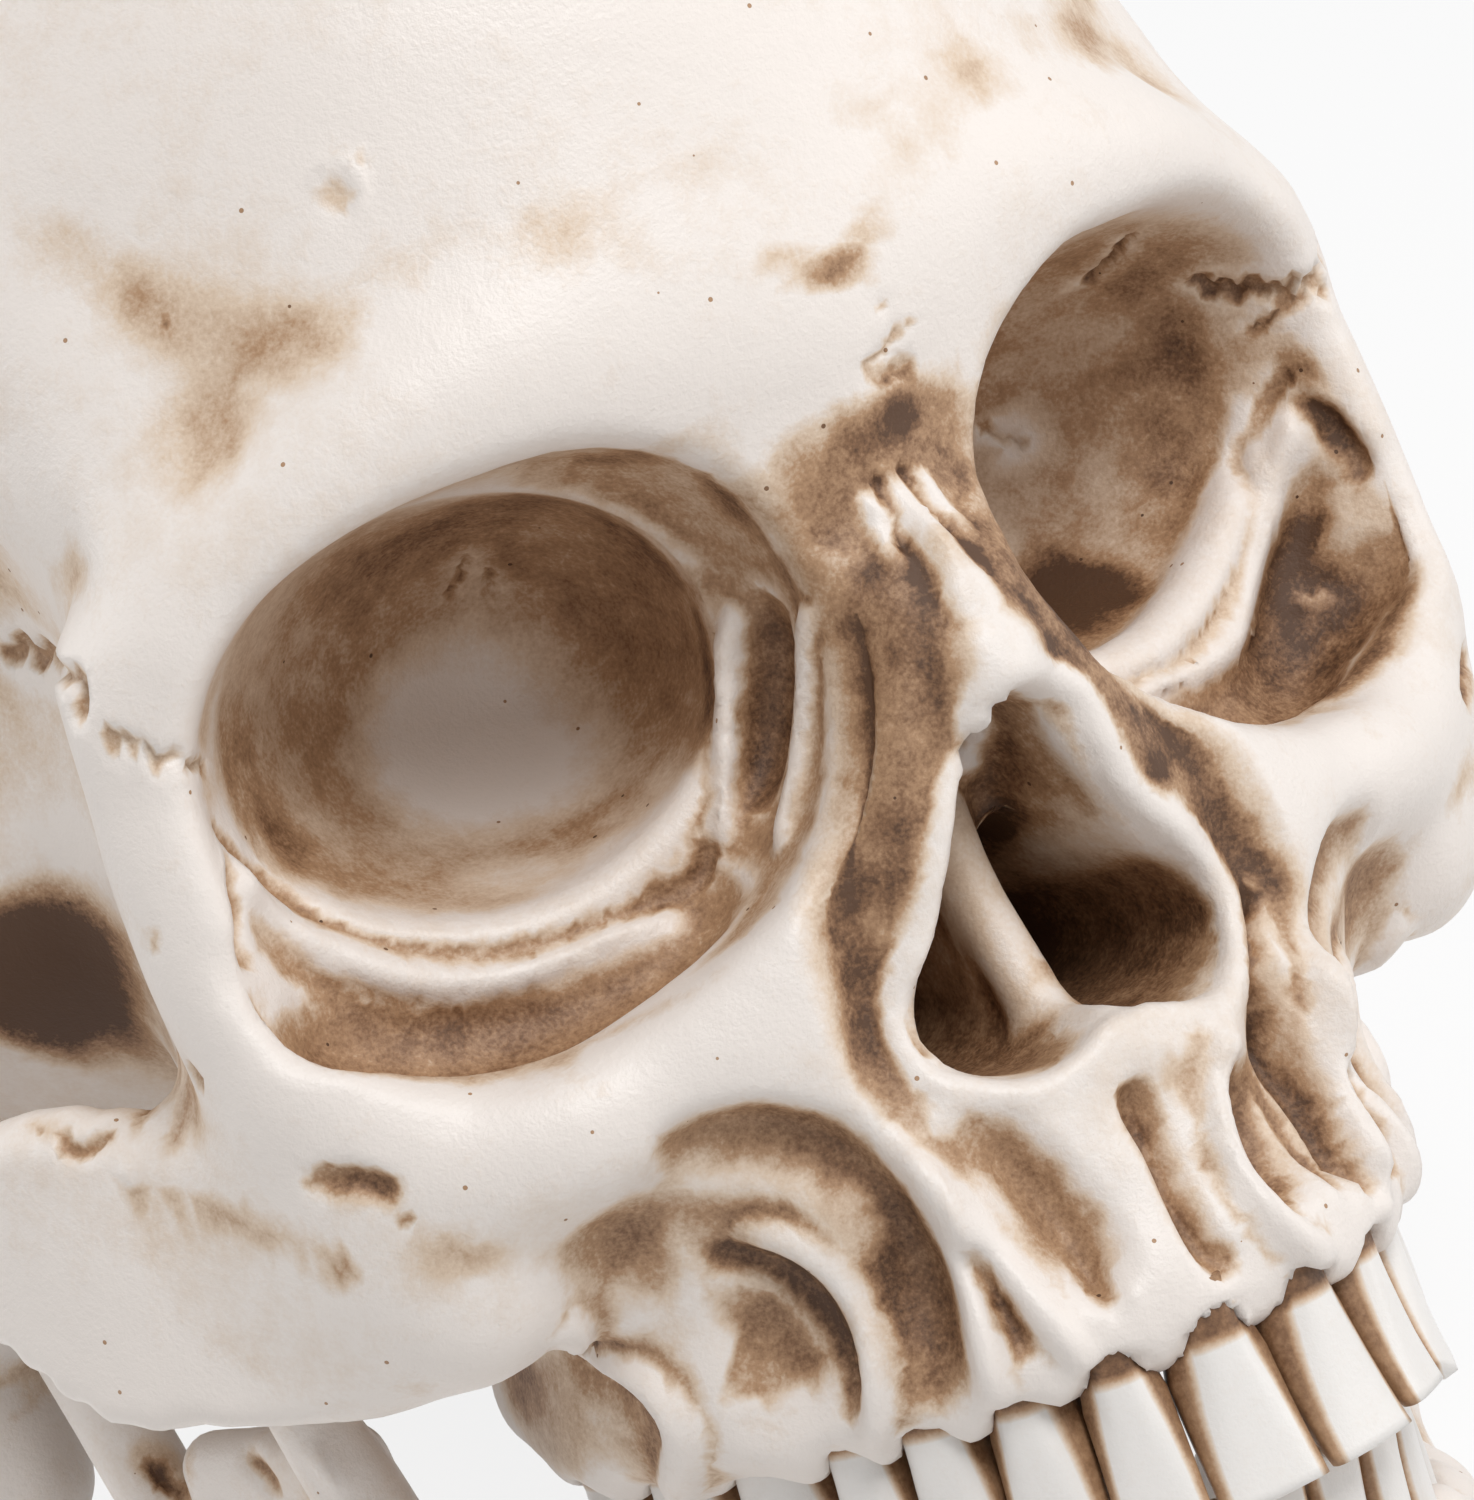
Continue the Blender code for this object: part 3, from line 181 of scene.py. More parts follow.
orbit_rim_shares = (
    (0.087, 0.033, -0.034), (0.139, 0.007, 0.027), (0.226, 0.007, 0.066), (0.328, 0.036, 0.060),
    (0.419, 0.092, 0.023), (0.480, 0.151, -0.034), (0.503, 0.162, -0.125), (0.501, 0.153, -0.215),
    (0.470, 0.107, -0.288), (0.386, 0.060, -0.324), (0.281, 0.025, -0.314), (0.184, 0.013, -0.280),
    (0.114, 0.022, -0.217), (0.073, 0.046, -0.125),
)
ORBIT_TURN = math.radians(15.2)
orbit_centre_share = (0.30, 0.07, -0.13)
orbit_dish_share = 0.11   # how deep the dish inside the rim is
orbit_draw_share = 0.05   # how far the dish draws in by its floor
orbit_lean_share = 0.28
# The deep bowl in the dish: across, depth and height of its middle, and its radii
orbit_bowl_shares = ((0.035, 0.04, -0.088), (0.19, 0.30, 0.152))
orbit_edge_share = 0.022
nose_rim_shares = (
    (0.0, -0.199), (0.032, -0.219), (0.054, -0.281), (0.084, -0.336), (0.121, -0.378),
    (0.129, -0.416), (0.100, -0.446), (0.050, -0.456), (0.0, -0.431),
)
nose_front_share = -0.02
nose_depth_share = 0.36
nose_floor_share = 0.08
nose_edge_share = 0.012

# Braincase cavity, less the wall where it follows the vault
cavity_floor_share = 0.135
cavity_shares = (
    ("egg", ((0, 1.22, -0.12), (0.43, 0.41, 0.36)), 0.08),
    ("egg", ((0.27, 0.74, -0.03), (0.22, 0.22, 0.20)), 0.08),
)
magnum_shares = (("rod", ((0, 1.05, -0.25, 0.15), (0, 1.05, -0.85, 0.16)), 0.03),)
vault_shares = (cranium_shares[0][1], cranium_shares[1][1])
vault_blend_share = cranium_shares[1][2]
cap_cut_share = 0.56

mandible_shares = (
    # Tooth-bearing ridge
    ("rod", ((0, -0.008, -0.915, 0.052), (0.055, -0.002, -0.915, 0.052), (0.115, 0.03, -0.915, 0.052),
             (0.165, 0.085, -0.92, 0.054), (0.205, 0.16, -0.925, 0.056), (0.24, 0.26, -0.93, 0.058),
             (0.27, 0.37, -0.93, 0.058), (0.30, 0.50, -0.93, 0.055)), 0.05),
    ("rod", ((0, 0.0, -1.0, 0.05), (0.11, 0.03, -1.0, 0.05), (0.20, 0.13, -0.99, 0.052),
             (0.27, 0.27, -0.975, 0.055), (0.33, 0.41, -0.95, 0.055)), 0.05),
    # Lower border
    ("rod", ((0, -0.01, -1.10, 0.06), (0.10, 0.01, -1.105, 0.055), (0.20, 0.11, -1.085, 0.05),
             (0.29, 0.25, -1.055, 0.048), (0.37, 0.40, -1.02, 0.047), (0.43, 0.54, -0.975, 0.045),
             (0.455, 0.62, -0.93, 0.045)), 0.05),
    # Chin
    ("egg", ((0, -0.04, -1.085), (0.11, 0.055, 0.06)), 0.05),
    # Ramus: plate, front edge with the coronoid, back edge with the neck, condyle
    ("strap", ((0.43, 0.50, -0.76, 0.028, 0.19), (0.465, 0.66, -0.76, 0.028, 0.20)), 0.04),
    ("rod", ((0.36, 0.46, -0.95, 0.045), (0.41, 0.47, -0.82, 0.036), (0.44, 0.455, -0.67, 0.034),
             (0.465, 0.46, -0.54, 0.03), (0.475, 0.485, -0.45, 0.022)), 0.04),
    ("rod", ((0.455, 0.62, -0.93, 0.04), (0.475, 0.685, -0.80, 0.035), (0.485, 0.735, -0.62, 0.033),
             (0.495, 0.77, -0.48, 0.035)), 0.04),
    ("egg", ((0.495, 0.785, -0.40), (0.10, 0.043, 0.043)), 0.03),
)
condyle_share, condyle_radii_shares = mandible_shares[-1][1]
# The way that the condyle's neck swings as the jaw opens
neck_swing_shares = (
    ("rod", ((0.495, 0.785, -0.42, 0.058), (0.49, 0.82, -0.53, 0.066), (0.48, 0.83, -0.66, 0.066)), 0.01),
)
fossa_edge_share = 0.01
swing_edge_share = 0.02

# Tooth rows: the outline of the teeth's front faces at the gum, from the midline back on the left side
upper_row_shares = ((0, -0.110), (0.041, -0.108), (0.110, -0.078), (0.167, -0.028), (0.212, 0.035),
                    (0.245, 0.105), (0.275, 0.19), (0.300, 0.29), (0.312, 0.39), (0.312, 0.55))
lower_row_shares = ((0, -0.072), (0.041, -0.069), (0.100, -0.040), (0.148, 0.008), (0.188, 0.07),
                    (0.220, 0.14), (0.252, 0.235), (0.282, 0.34), (0.305, 0.44), (0.325, 0.60))
upper_gum_share = -0.668
lower_gum_share = -0.885
bite_share = -0.785
# Name: width and depth as shares of the upper central incisor's, crown as a share of gum to bite, and cusps
upper_teeth_shares = {
    "central_incisor": (1.00, 1.00, 1.03, 0), "lateral_incisor": (0.80, 0.90, 0.96, 0),
    "canine": (0.88, 1.12, 1.05, 1), "first_premolar": (0.81, 1.20, 0.98, 2),
    "second_premolar": (0.78, 1.20, 0.98, 2), "first_molar": (1.17, 1.40, 0.98, 4),
    "second_molar": (1.09, 1.36, 0.98, 4), "third_molar": (0.95, 1.25, 0.98, 4),
}
lower_teeth_shares = {
    "central_incisor": (0.61, 0.80, 1.08, 0), "lateral_incisor": (0.67, 0.82, 1.08, 0),
    "canine": (0.79, 1.00, 1.09, 1), "first_premolar": (0.80, 1.04, 0.98, 2),
    "second_premolar": (0.81, 1.10, 0.98, 2), "first_molar": (1.26, 1.30, 0.98, 4),
    "second_molar": (1.19, 1.26, 0.98, 4), "third_molar": (1.10, 1.20, 0.98, 4),
}
# Rings from the root's end to the edge: height (negative: share of the root's depth), width and depth
front_crown_shares = ((-1.0, 0.45, 0.55), (-0.5, 0.54, 0.77), (0.06, 0.64, 1.0), (0.38, 0.82, 0.86),
                      (0.72, 0.95, 0.55), (0.97, 1.0, 0.30))
back_crown_shares = ((-1.0, 0.70, 0.70), (-0.5, 0.80, 0.82), (0.06, 0.84, 0.90), (0.45, 1.0, 1.0),
                     (0.75, 0.96, 0.94), (0.93, 0.80, 0.74))
socket_top_share = 1.1    # how far past the gum a socket is cut
front_lean_share = 0.13   # how far a front tooth's edge stands out, as a share of its crown
front_thinning_share = 0.75  # how much of a crown's thinning is taken from its front face
# Heights on the biting face as shares of the crown
middle_pit_share = 0.84
premolar_groove_share = 0.84
canine_shoulder_share = 0.84
# Bulge over each root: radius as a share of the tooth's width, how far in, how long, blend
root_bulge_shares = (0.37, 0.030, 0.12, 0.025)
lower_root_share = 0.6    # how far a lower root goes on inward, per upper root


# Distances to the lumps. A place is a row of x, y, z shares, with x taken on the left side.

def curve_points(knots, closed=False, steps=OUTLINE_STEPS):
    """A smooth curve through the knots, with steps points for each."""
    knots = np.asarray(knots, float)
    count = len(knots)
    points = []
    for i in range(count if closed else count - 1):
        before = knots[(i - 1) % count] if closed or i else knots[0]
        start = knots[i]
        end = knots[(i + 1) % count]
        after = knots[(i + 2) % count] if closed or i + 2 < count else knots[-1]
        for t in np.arange(steps) / steps:
            points.append(0.5 * (2 * start + (end - before) * t
                                 + (2 * before - 5 * start + 4 * end - after) * t**2
                                 + (3 * start - before - 3 * end + after) * t**3))
    if not closed:
        points.append(knots[-1])
    return np.array(points)


def egg_distance(places, egg):
    centre, radii = np.array(egg)
    scaled = (places - centre) / radii
    length = np.sqrt((scaled**2).sum(1)) + TINY
    slope = np.sqrt(((scaled / radii)**2).sum(1)) + TINY
    return length * (length - 1) / slope


def rod_distance(places, knots):
    points = curve_points(knots)
    best = np.full(len(places), np.inf)
    for start, end in zip(points[:-1], points[1:]):
        run = end[:3] - start[:3]
        from_start = places - start[:3]
        along = np.clip(from_start @ run / (run @ run), 0, 1)
        radius = start[3] + (end[3] - start[3]) * along
        off = from_start - along[:, None] * run
        best = np.minimum(best, np.sqrt((off**2).sum(1)) - radius)
    return best


def strap_distance(places, knots):
    points = curve_points(knots)
    best = np.full(len(places), np.inf)
    for start, end in zip(points[:-1], points[1:]):
        run = end[:2] - start[:2]
        from_start = places[:, :2] - start[:2]
        along = np.clip(from_start @ run / (run @ run), 0, 1)
        off = from_start - along[:, None] * run
        middle = start[2:] + (end[2:] - start[2:]) * along[:, None]
        thick, high = middle[:, 1], middle[:, 2]
        above = np.maximum(np.abs(places[:, 2] - middle[:, 0]) - (high - thick), 0)
        best = np.minimum(best, np.sqrt((off**2).sum(1) + above**2) - thick)
    return best


DISTANCES = {"egg": egg_distance, "rod": rod_distance, "strap": strap_distance}


def lump_box(kind, table):
    """The lump's lowest and highest corner."""
    rows = np.array(table)
    if kind == "egg":
        return rows[0] - rows[1], rows[0] + rows[1]
    reach = rows[:, 3:4].max() if kind == "rod" else rows[:, 3:].max()
    return rows[:, :3].min(0) - reach, rows[:, :3].max(0) + reach


def lump_distance(places, kind, table):
    """The exact distance near the lump, and the distance to its box far from it."""
    low, high = lump_box(kind, table)
    outside = np.maximum(np.maximum(low - places, places - high), 0)
    distance = np.sqrt((outside**2).sum(1))
    near = distance < far_share
    distance[near] = DISTANCES[kind](places[near], table)
    return distance


def blend(first, second, softness):
    """The union of two lumps with a fillet."""
    mix = np.clip(0.5 + 0.5 * (second - first) / softness, 0, 1)
    return second * (1 - mix) + first * mix - softness * mix * (1 - mix)


def press(first, second, softness):
    """The first lump with the second taken out of it, the edge rounded."""
    return -blend(-first, second, softness)


def lumps_distance(places, lumps, distance=None):
    for kind, table, softness in lumps:
        lump = lump_distance(places, kind, table)
        distance = lump if distance is None else blend(distance, lump, softness)
    return distance


def outline_distance(across, up, outline):
    """The distance to a closed outline, below zero inside it."""
    best = np.full(len(across), np.inf)
    inside = np.zeros(len(across), bool)
    for (x0, z0), (x1, z1) in zip(outline, np.roll(outline, -1, 0)):
        run_x, run_z = x1 - x0, z1 - z0
        off_x, off_z = across - x0, up - z0
        along = np.clip((off_x * run_x + off_z * run_z) / (run_x**2 + run_z**2), 0, 1)
        best = np.minimum(best, (off_x - run_x * along)**2 + (off_z - run_z * along)**2)
        if z0 != z1:
            inside ^= ((z0 <= up) != (z1 <= up)) & (off_x < off_z * run_x / run_z)
    return np.where(inside, -1, 1) * np.sqrt(best)


def orbit_distance(places):
    """The orbit: a dish inside the rim's outline, and in it the deep bowl, leant to the midline."""
    across_axis = np.array((math.cos(ORBIT_TURN), math.sin(ORBIT_TURN), 0))
    depth_axis = np.array((-math.sin(ORBIT_TURN), math.cos(ORBIT_TURN), 0))
    off = places - np.array(orbit_centre_share)
    rim = curve_points(np.array(orbit_rim_shares) - orbit_centre_share, closed=True, steps=3)
    outline = np.column_stack((rim @ across_axis, rim[:, 2]))
    depth = off @ depth_axis
    across = off @ across_axis
    along = np.clip(depth / orbit_dish_share, 0, 1)
    dish = outline_distance(across, off[:, 2], outline) + orbit_draw_share * (1 - np.sqrt(1 - along**2))
    dish = np.maximum(dish, depth - orbit_dish_share)
    middle, radii = orbit_bowl_shares
    leant = across + orbit_lean_share * np.maximum(depth, 0)
    inside = np.column_stack((leant, np.maximum(depth, middle[1]), places[:, 2]))
    return blend(dish, egg_distance(inside, (middle, radii)), orbit_edge_share)


def nose_distance(places):
    half = curve_points(nose_rim_shares, steps=3)
    outline = np.concatenate((half, (half * (-1, 1))[-2:0:-1]))
    depth = places[:, 1] - nose_front_share
    along = np.clip(depth / nose_depth_share, 0, 1)
    draw = nose_floor_share * (1 - np.sqrt(1 - along**2))
    bowl = outline_distance(places[:, 0], places[:, 2], outline) + draw
    return np.maximum(bowl, depth - nose_depth_share)


def on_left(points):
    """The places on the left side that mirror to these points."""
    return points * np.where(points[:, :1] < 0, (-1, 1, 1), (1, 1, 1))


def step_along(outline, start, chord):
    """The point on the outline a chord's length from start, past it."""
    lengths = np.linalg.norm(outline - start, axis=1)
    past = (outline[1:, 1] > start[1]) & (lengths[1:] >= chord) & (lengths[:-1] < chord)
    index = int(np.argmax(past)) + 1 if past.any() else len(outline) - 1
    share = (chord - lengths[index - 1]) / (lengths[index] - lengths[index - 1])
    toward = outline[index - 1] + share * (outline[index] - outline[index - 1]) - start
    return start + toward * chord / np.linalg.norm(toward)


def row_layout(row):
    """Steps the left half of a row along its outline: one dictionary for each tooth, in metres."""
    outline = curve_points(row["outline"]) * SIZE[:2]
    corner = outline[0] + (TOOTH_GAP / 2, 0)
    crown = abs(bite_share - row["gum"]) * FACE_HEIGHT
    layout = []
    for name, (width, depth, height, cusps) in row["teeth"].items():
        end = step_along(outline, corner, width * TOOTH_WIDTH)
        along = (end - corner) / np.linalg.norm(end - corner)
        layout.append({"name": name, "middle": (corner + end) / 2, "turn": math.atan2(along[1], along[0]),
                       "width": width * TOOTH_WIDTH, "depth": depth * TOOTH_DEPTH,
                       "crown": height * crown, "cusps": cusps})
        corner = end + along * TOOTH_GAP
    turns = [-layout[0]["turn"]] + [tooth["turn"] for tooth in layout] + [layout[-1]["turn"]]
    for tooth, before, turn, after in zip(layout, turns, turns[1:], turns[2:]):
        tooth["wedges"] = ((turn - before) / 2, (after - turn) / 2)
    return layout


def root_bulges(row):
    """The swelling that the jaw has over each root, as rods."""
    radius, inset, length, softness = root_bulge_shares
    up = -row["toward_bite"]
    lumps = []
    for tooth in row_layout(row):
        inward = np.array((-math.sin(tooth["turn"]), math.cos(tooth["turn"])))
        at_gum = tooth["middle"] / SIZE[:2] + inward * inset
        at_end = at_gum + inward * inset * (1 if row is UPPER else lower_root_share)
        thick = radius * tooth["width"] / ORBITS_WIDTH
        ends = ((*at_gum, row["gum"] + up * inset / 2, thick), (*at_end, row["gum"] + up * length, thick))
        lumps.append(("rod", ends, softness))
    return lumps


UPPER = {"name": "upper", "outline": upper_row_shares, "gum": upper_gum_share, "toward_bite": -1,
         "teeth": upper_teeth_shares}
LOWER = {"name": "lower", "outline": lower_row_shares, "gum": lower_gum_share, "toward_bite": 1,
         "teeth": lower_teeth_shares}


def cranium_distance(points):
    places = on_left(points)
    distance = lumps_distance(places, cranium_shares)
    distance = lumps_distance(places, root_bulges(UPPER), distance)
    for kind, table, softness in cranium_hollow_shares:
        distance = press(distance, lump_distance(places, kind, table), softness)
    distance = press(distance, orbit_distance(places), orbit_edge_share)
    distance = press(distance, nose_distance(places), nose_edge_share)
    distance = lumps_distance(places, septum_shares, distance)
    condyle = egg_distance(places, (condyle_share, np.array(condyle_radii_shares) + JAW_CLEARANCE / SIZE))
    distance = press(distance, condyle, fossa_edge_share)
    return press(distance, lumps_distance(places, neck_swing_shares), swing_edge_share)


def cavity_distance(points):
    """The braincase's inside: the vault less its wall, with a floor stepped down from front to back."""
    places = on_left(points)
    inner = [("egg", (centre, np.array(radii) - WALL / SIZE), vault_blend_share)
             for centre, radii in vault_shares]
    distance = np.maximum(lumps_distance(places, inner), cavity_floor_share - places[:, 2])
    distance = lumps_distance(places, cavity_shares, distance)
    return lumps_distance(places, magnum_shares, distance)


def mandible_distance(points):
    places = on_left(points)
    distance = lumps_distance(places, mandible_shares)
    return lumps_distance(places, root_bulges(LOWER), distance)


# The camera in the skull's frame, and the picture that the marks' pixels belong to
PICTURE = (1474, 1500)
FOCAL_PIXELS = 6435.7
CAMERA_PLACE = Vector((-0.226155, -0.387304, 0.026279))
CAMERA_RIGHT = Vector((0.8085394, -0.47320609, -0.3497714))
CAMERA_DOWN = Vector((-0.35309874, 0.08533879, -0.93168588))
CAMERA_FORWARD = Vector((0.4707285, 0.87680858, -0.0980887))
SENSOR_MM = 36

# The lip round the nasal opening
nose_lip_pixels = ((950, 800), (968, 740), (985, 705), (1012, 682), (1045, 676), (1078, 692), (1102, 735),
                   (1128, 785), (1160, 815), (1195, 842), (1222, 878), (1236, 925), (1238, 965), (1226, 1000),
                   (1180, 1010), (1130, 1010), (1108, 1024), (1084, 1060), (1042, 1088), (990, 1092),
                   (940, 1076), (908, 1040), (905, 990), (925, 935), (932, 890), (942, 850), (950, 800))
# Lines along which the bone is evened out: half width in mm, mirrored, pixels
cranium_softened = (
    (4.0, False, nose_lip_pixels),
    (3.0, False, ((1000, 1424), (1060, 1410), (1120, 1372), (1190, 1340), (1260, 1300), (1330, 1270))),
)
# Carved marks on the cranium: half width and depth in mm (a negative depth stands proud), wash (a negative
# one wipes the bone clean), whether the other side has it too, and the pixels that the mark runs through.
cranium_marks = (
    # Orbit: trough inside the lower rim, lip of the bowl, crease, side groove, tear groove and its crest
    (5.2, 2.4, 0.0, True, ((236, 925), (275, 1000), (340, 1042), (430, 1052), (510, 1036), (590, 1000), (670, 945),
                            (735, 870))),
    (2.4, -1.3, -0.35, True, ((216, 850), (255, 905), (300, 940), (390, 975), (480, 984), (590, 955), (690, 905))),
    (1.1, 0.6, 0.15, True, ((212, 828), (255, 868), (300, 905), (350, 932), (400, 948), (480, 955), (545, 945),
                            (600, 925), (650, 905), (690, 882))),
    (1.8, 1.6, 0.36, True, ((222, 845), (232, 885), (246, 930), (262, 965))),
    (2.8, 1.9, 0.10, True, ((768, 592), (772, 650), (768, 710), (760, 770), (750, 815))),
    (1.6, -1.4, -0.5, True, ((736, 600), (732, 660), (730, 720), (728, 780), (722, 850))),
    (1.6, -1.2, -0.4, True, ((806, 600), (812, 660), (808, 730), (796, 800), (778, 860))),
    (0.9, 1.0, 0.48, True, ((686, 890), (700, 872), (710, 850), (712, 838))),
    (0.45, 0.5, 0.42, False, ((468, 556), (458, 578), (448, 600))),
    (0.45, 0.5, 0.42, False, ((488, 570), (490, 590), (484, 598))),
    # Left orbit: ledge, trough beside it, cracks, suture on the outer wall
    (4.2, -1.5, -0.4, False, ((1270, 400), (1252, 470), (1226, 530), (1190, 590), (1160, 640), (1125, 680))),
    (4.8, 1.6, 0.1, False, ((1315, 460), (1290, 540), (1276, 610), (1290, 670), (1330, 690))),
    (0.48, 0.7, 0.54, False, ((978, 428), (1000, 436), (1031, 448))),
    (0.48, 0.7, 0.48, False, ((1135, 232), (1112, 258), (1084, 284))),
    (0.72, 0.98, 0.54, False, ((1188, 288), (1202, 280), (1210, 296), (1226, 284), (1236, 298), (1252, 280), (1262, 294),
                            (1276, 286), (1282, 304), (1296, 278), (1304, 300), (1318, 272), (1326, 296), (1334, 268))),
    # Nose: the lip round its opening
    (1.9, -0.9, -0.9, False, nose_lip_pixels),
    # Nasal bones
    (0.84, 0.98, 0.48, True, ((873, 470), (884, 498), (898, 528), (912, 556))),
    (1.69, -0.95, -0.4, True, ((905, 470), (928, 520), (945, 570), (975, 620))),
    (1.2, -0.56, -0.3, True, ((862, 490), (880, 530), (905, 575))),
    # Side of the nose, down to the front teeth
    (4.68, 2.09, 0.21, True, ((838, 560), (848, 640), (850, 730), (850, 820), (856, 910), (872, 990), (900, 1060),
                            (950, 1115))),
    (3.9, 2.85, 0.1, True, ((950, 1110), (1000, 1150), (1045, 1195), (1085, 1250), (1118, 1305))),
    (1.56, 1.14, 0.24, True, ((1075, 1240), (1100, 1285), (1124, 1320))),
    (1.82, -1.52, -0.5, True, ((900, 1150), (950, 1200), (1000, 1260), (1050, 1320), (1090, 1370))),
    (1.32, 1.12, 0.42, True, ((962, 1238), (985, 1280), (1008, 1320), (1030, 1362))),
    (1.95, -1.52, -0.6, True, ((880, 1130), (930, 1195), (965, 1270), (985, 1350), (1000, 1410))),
    # Arcs of the canine hollow, from the outer to the inner
    (4.4, 2.6, 0.2, True, ((650, 1172), (700, 1150), (760, 1142), (820, 1158), (870, 1200), (906, 1260), (924, 1330),
                           (930, 1400), (932, 1450))),
    (2.2, -1.4, -0.25, True, ((730, 1236), (785, 1240), (832, 1272), (862, 1322), (872, 1380), (872, 1450))),
    (8.5, 3.0, 0.2, True, ((700, 1310), (740, 1310), (780, 1340), (805, 1390), (815, 1460))),
    (2.0, 0.9, 0.15, True, ((700, 1262), (748, 1262), (790, 1284), (824, 1326), (842, 1380), (846, 1430))),
    # Left side of the upper jaw
    (1.95, 2.66, 0.39, False, ((1128, 1078), (1140, 1108), (1160, 1145), (1185, 1200), (1210, 1245), (1240, 1275))),
    (3.64, 4.56, 0.45, False, ((1240, 1050), (1252, 1110), (1275, 1160), (1310, 1205))),
    (2.08, -1.9, -0.6, False, ((1225, 1010), (1222, 1080), (1240, 1160), (1285, 1230), (1330, 1262))),
    (1.69, 2.28, 0.42, False, ((1268, 880), (1262, 940), (1280, 1010), (1310, 1080), (1350, 1150), (1385, 1195))),
    # Cheekbone: root ridge, notch under the orbit, foramen, chips
    (2.34, -1.71, -0.8, True, ((560, 1322), (612, 1352), (655, 1384), (684, 1432), (682, 1495))),
    (1.69, 1.14, 0.3, True, ((300, 1186), (350, 1180), (405, 1196))),
    (1.69, 2.09, 0.54, True, ((193, 1066), (193, 1082))),
    (0.54, 0.7, 0.6, False, ((404, 1212), (407, 1226))),
    (1.2, 0.7, 0.3, False, ((148, 938), (160, 944))),
    (1.08, 1.12, 0.36, True, ((64, 1122), (66, 1148), (84, 1150), (104, 1136), (120, 1136))),
    (1.2, 0.7, 0.36, True, ((36, 1126), (46, 1132))),
    (0.72, -0.42, 0.12, False, ((120, 1160), (132, 1178), (134, 1192))),
    # Zigzag suture on the outer bar, rough suture on the temple
    (0.54, 0.7, 0.48, True, ((103, 724), (112, 750), (122, 736), (130, 752), (142, 744), (152, 756), (160, 774),
                            (170, 752), (186, 764), (206, 766))),
    (1.2, 1.26, 0.48, True, ((0, 642), (12, 658), (22, 642), (34, 664), (46, 648), (56, 676), (72, 676), (78, 700),
                           (74, 728))),
    # Brow: carved strokes above the nose, slits, chip on the forehead
    (0.42, 0.56, 0.54, False, ((893, 332), (908, 322), (920, 316))),
    (0.48, 0.49, 0.36, False, ((872, 350), (890, 340), (908, 334))),
    (0.48, 0.49, 0.42, False, ((858, 372), (880, 356), (904, 348))),
    (0.54, 0.56, 0.48, False, ((860, 378), (885, 366), (918, 362))),
    (0.54, 0.56, 0.48, False, ((878, 384), (898, 374), (922, 374))),
    (0.42, 0.42, 0.24, False, ((876, 308), (890, 303))),
    (0.36, 0.42, 0.48, False, ((158, 316), (167, 324))),
    (1.95, 0.6, -0.1, False, ((322, 178), (340, 196), (352, 182))),
    (0.6, -0.42, 0.14, False, ((314, 196), (318, 172), (338, 160), (358, 174), (360, 196), (344, 210))),
)
# Seams of the vault, out of the picture: half width, depth, wash, sway in mm, and places on the left in shares
vault_seams = (
    (0.9, 0.55, 0.35, 1.3, ((0, 0.75, 0.92), (0, 1.0, 0.90), (0, 1.2, 0.90), (0, 1.4, 0.83), (0, 1.7, 0.58))),
    (0.9, 0.55, 0.35, 1.3, ((0, 0.75, 0.92), (0.25, 0.70, 0.86), (0.45, 0.60, 0.65), (0.58, 0.50, 0.40),
                            (0.63, 0.45, 0.15))),
    (0.9, 0.55, 0.35, 1.6, ((0, 1.7, 0.58), (0.20, 1.66, 0.40), (0.40, 1.52, 0.15), (0.52, 1.38, -0.10),
                            (0.56, 1.25, -0.25))),
    (0.9, 0.50, 0.30, 0.5, ((0.64, 0.50, 0.05), (0.68, 0.65, 0.20), (0.70, 0.90, 0.25), (0.68, 1.10, 0.12),
                            (0.62, 1.22, -0.10))),
)
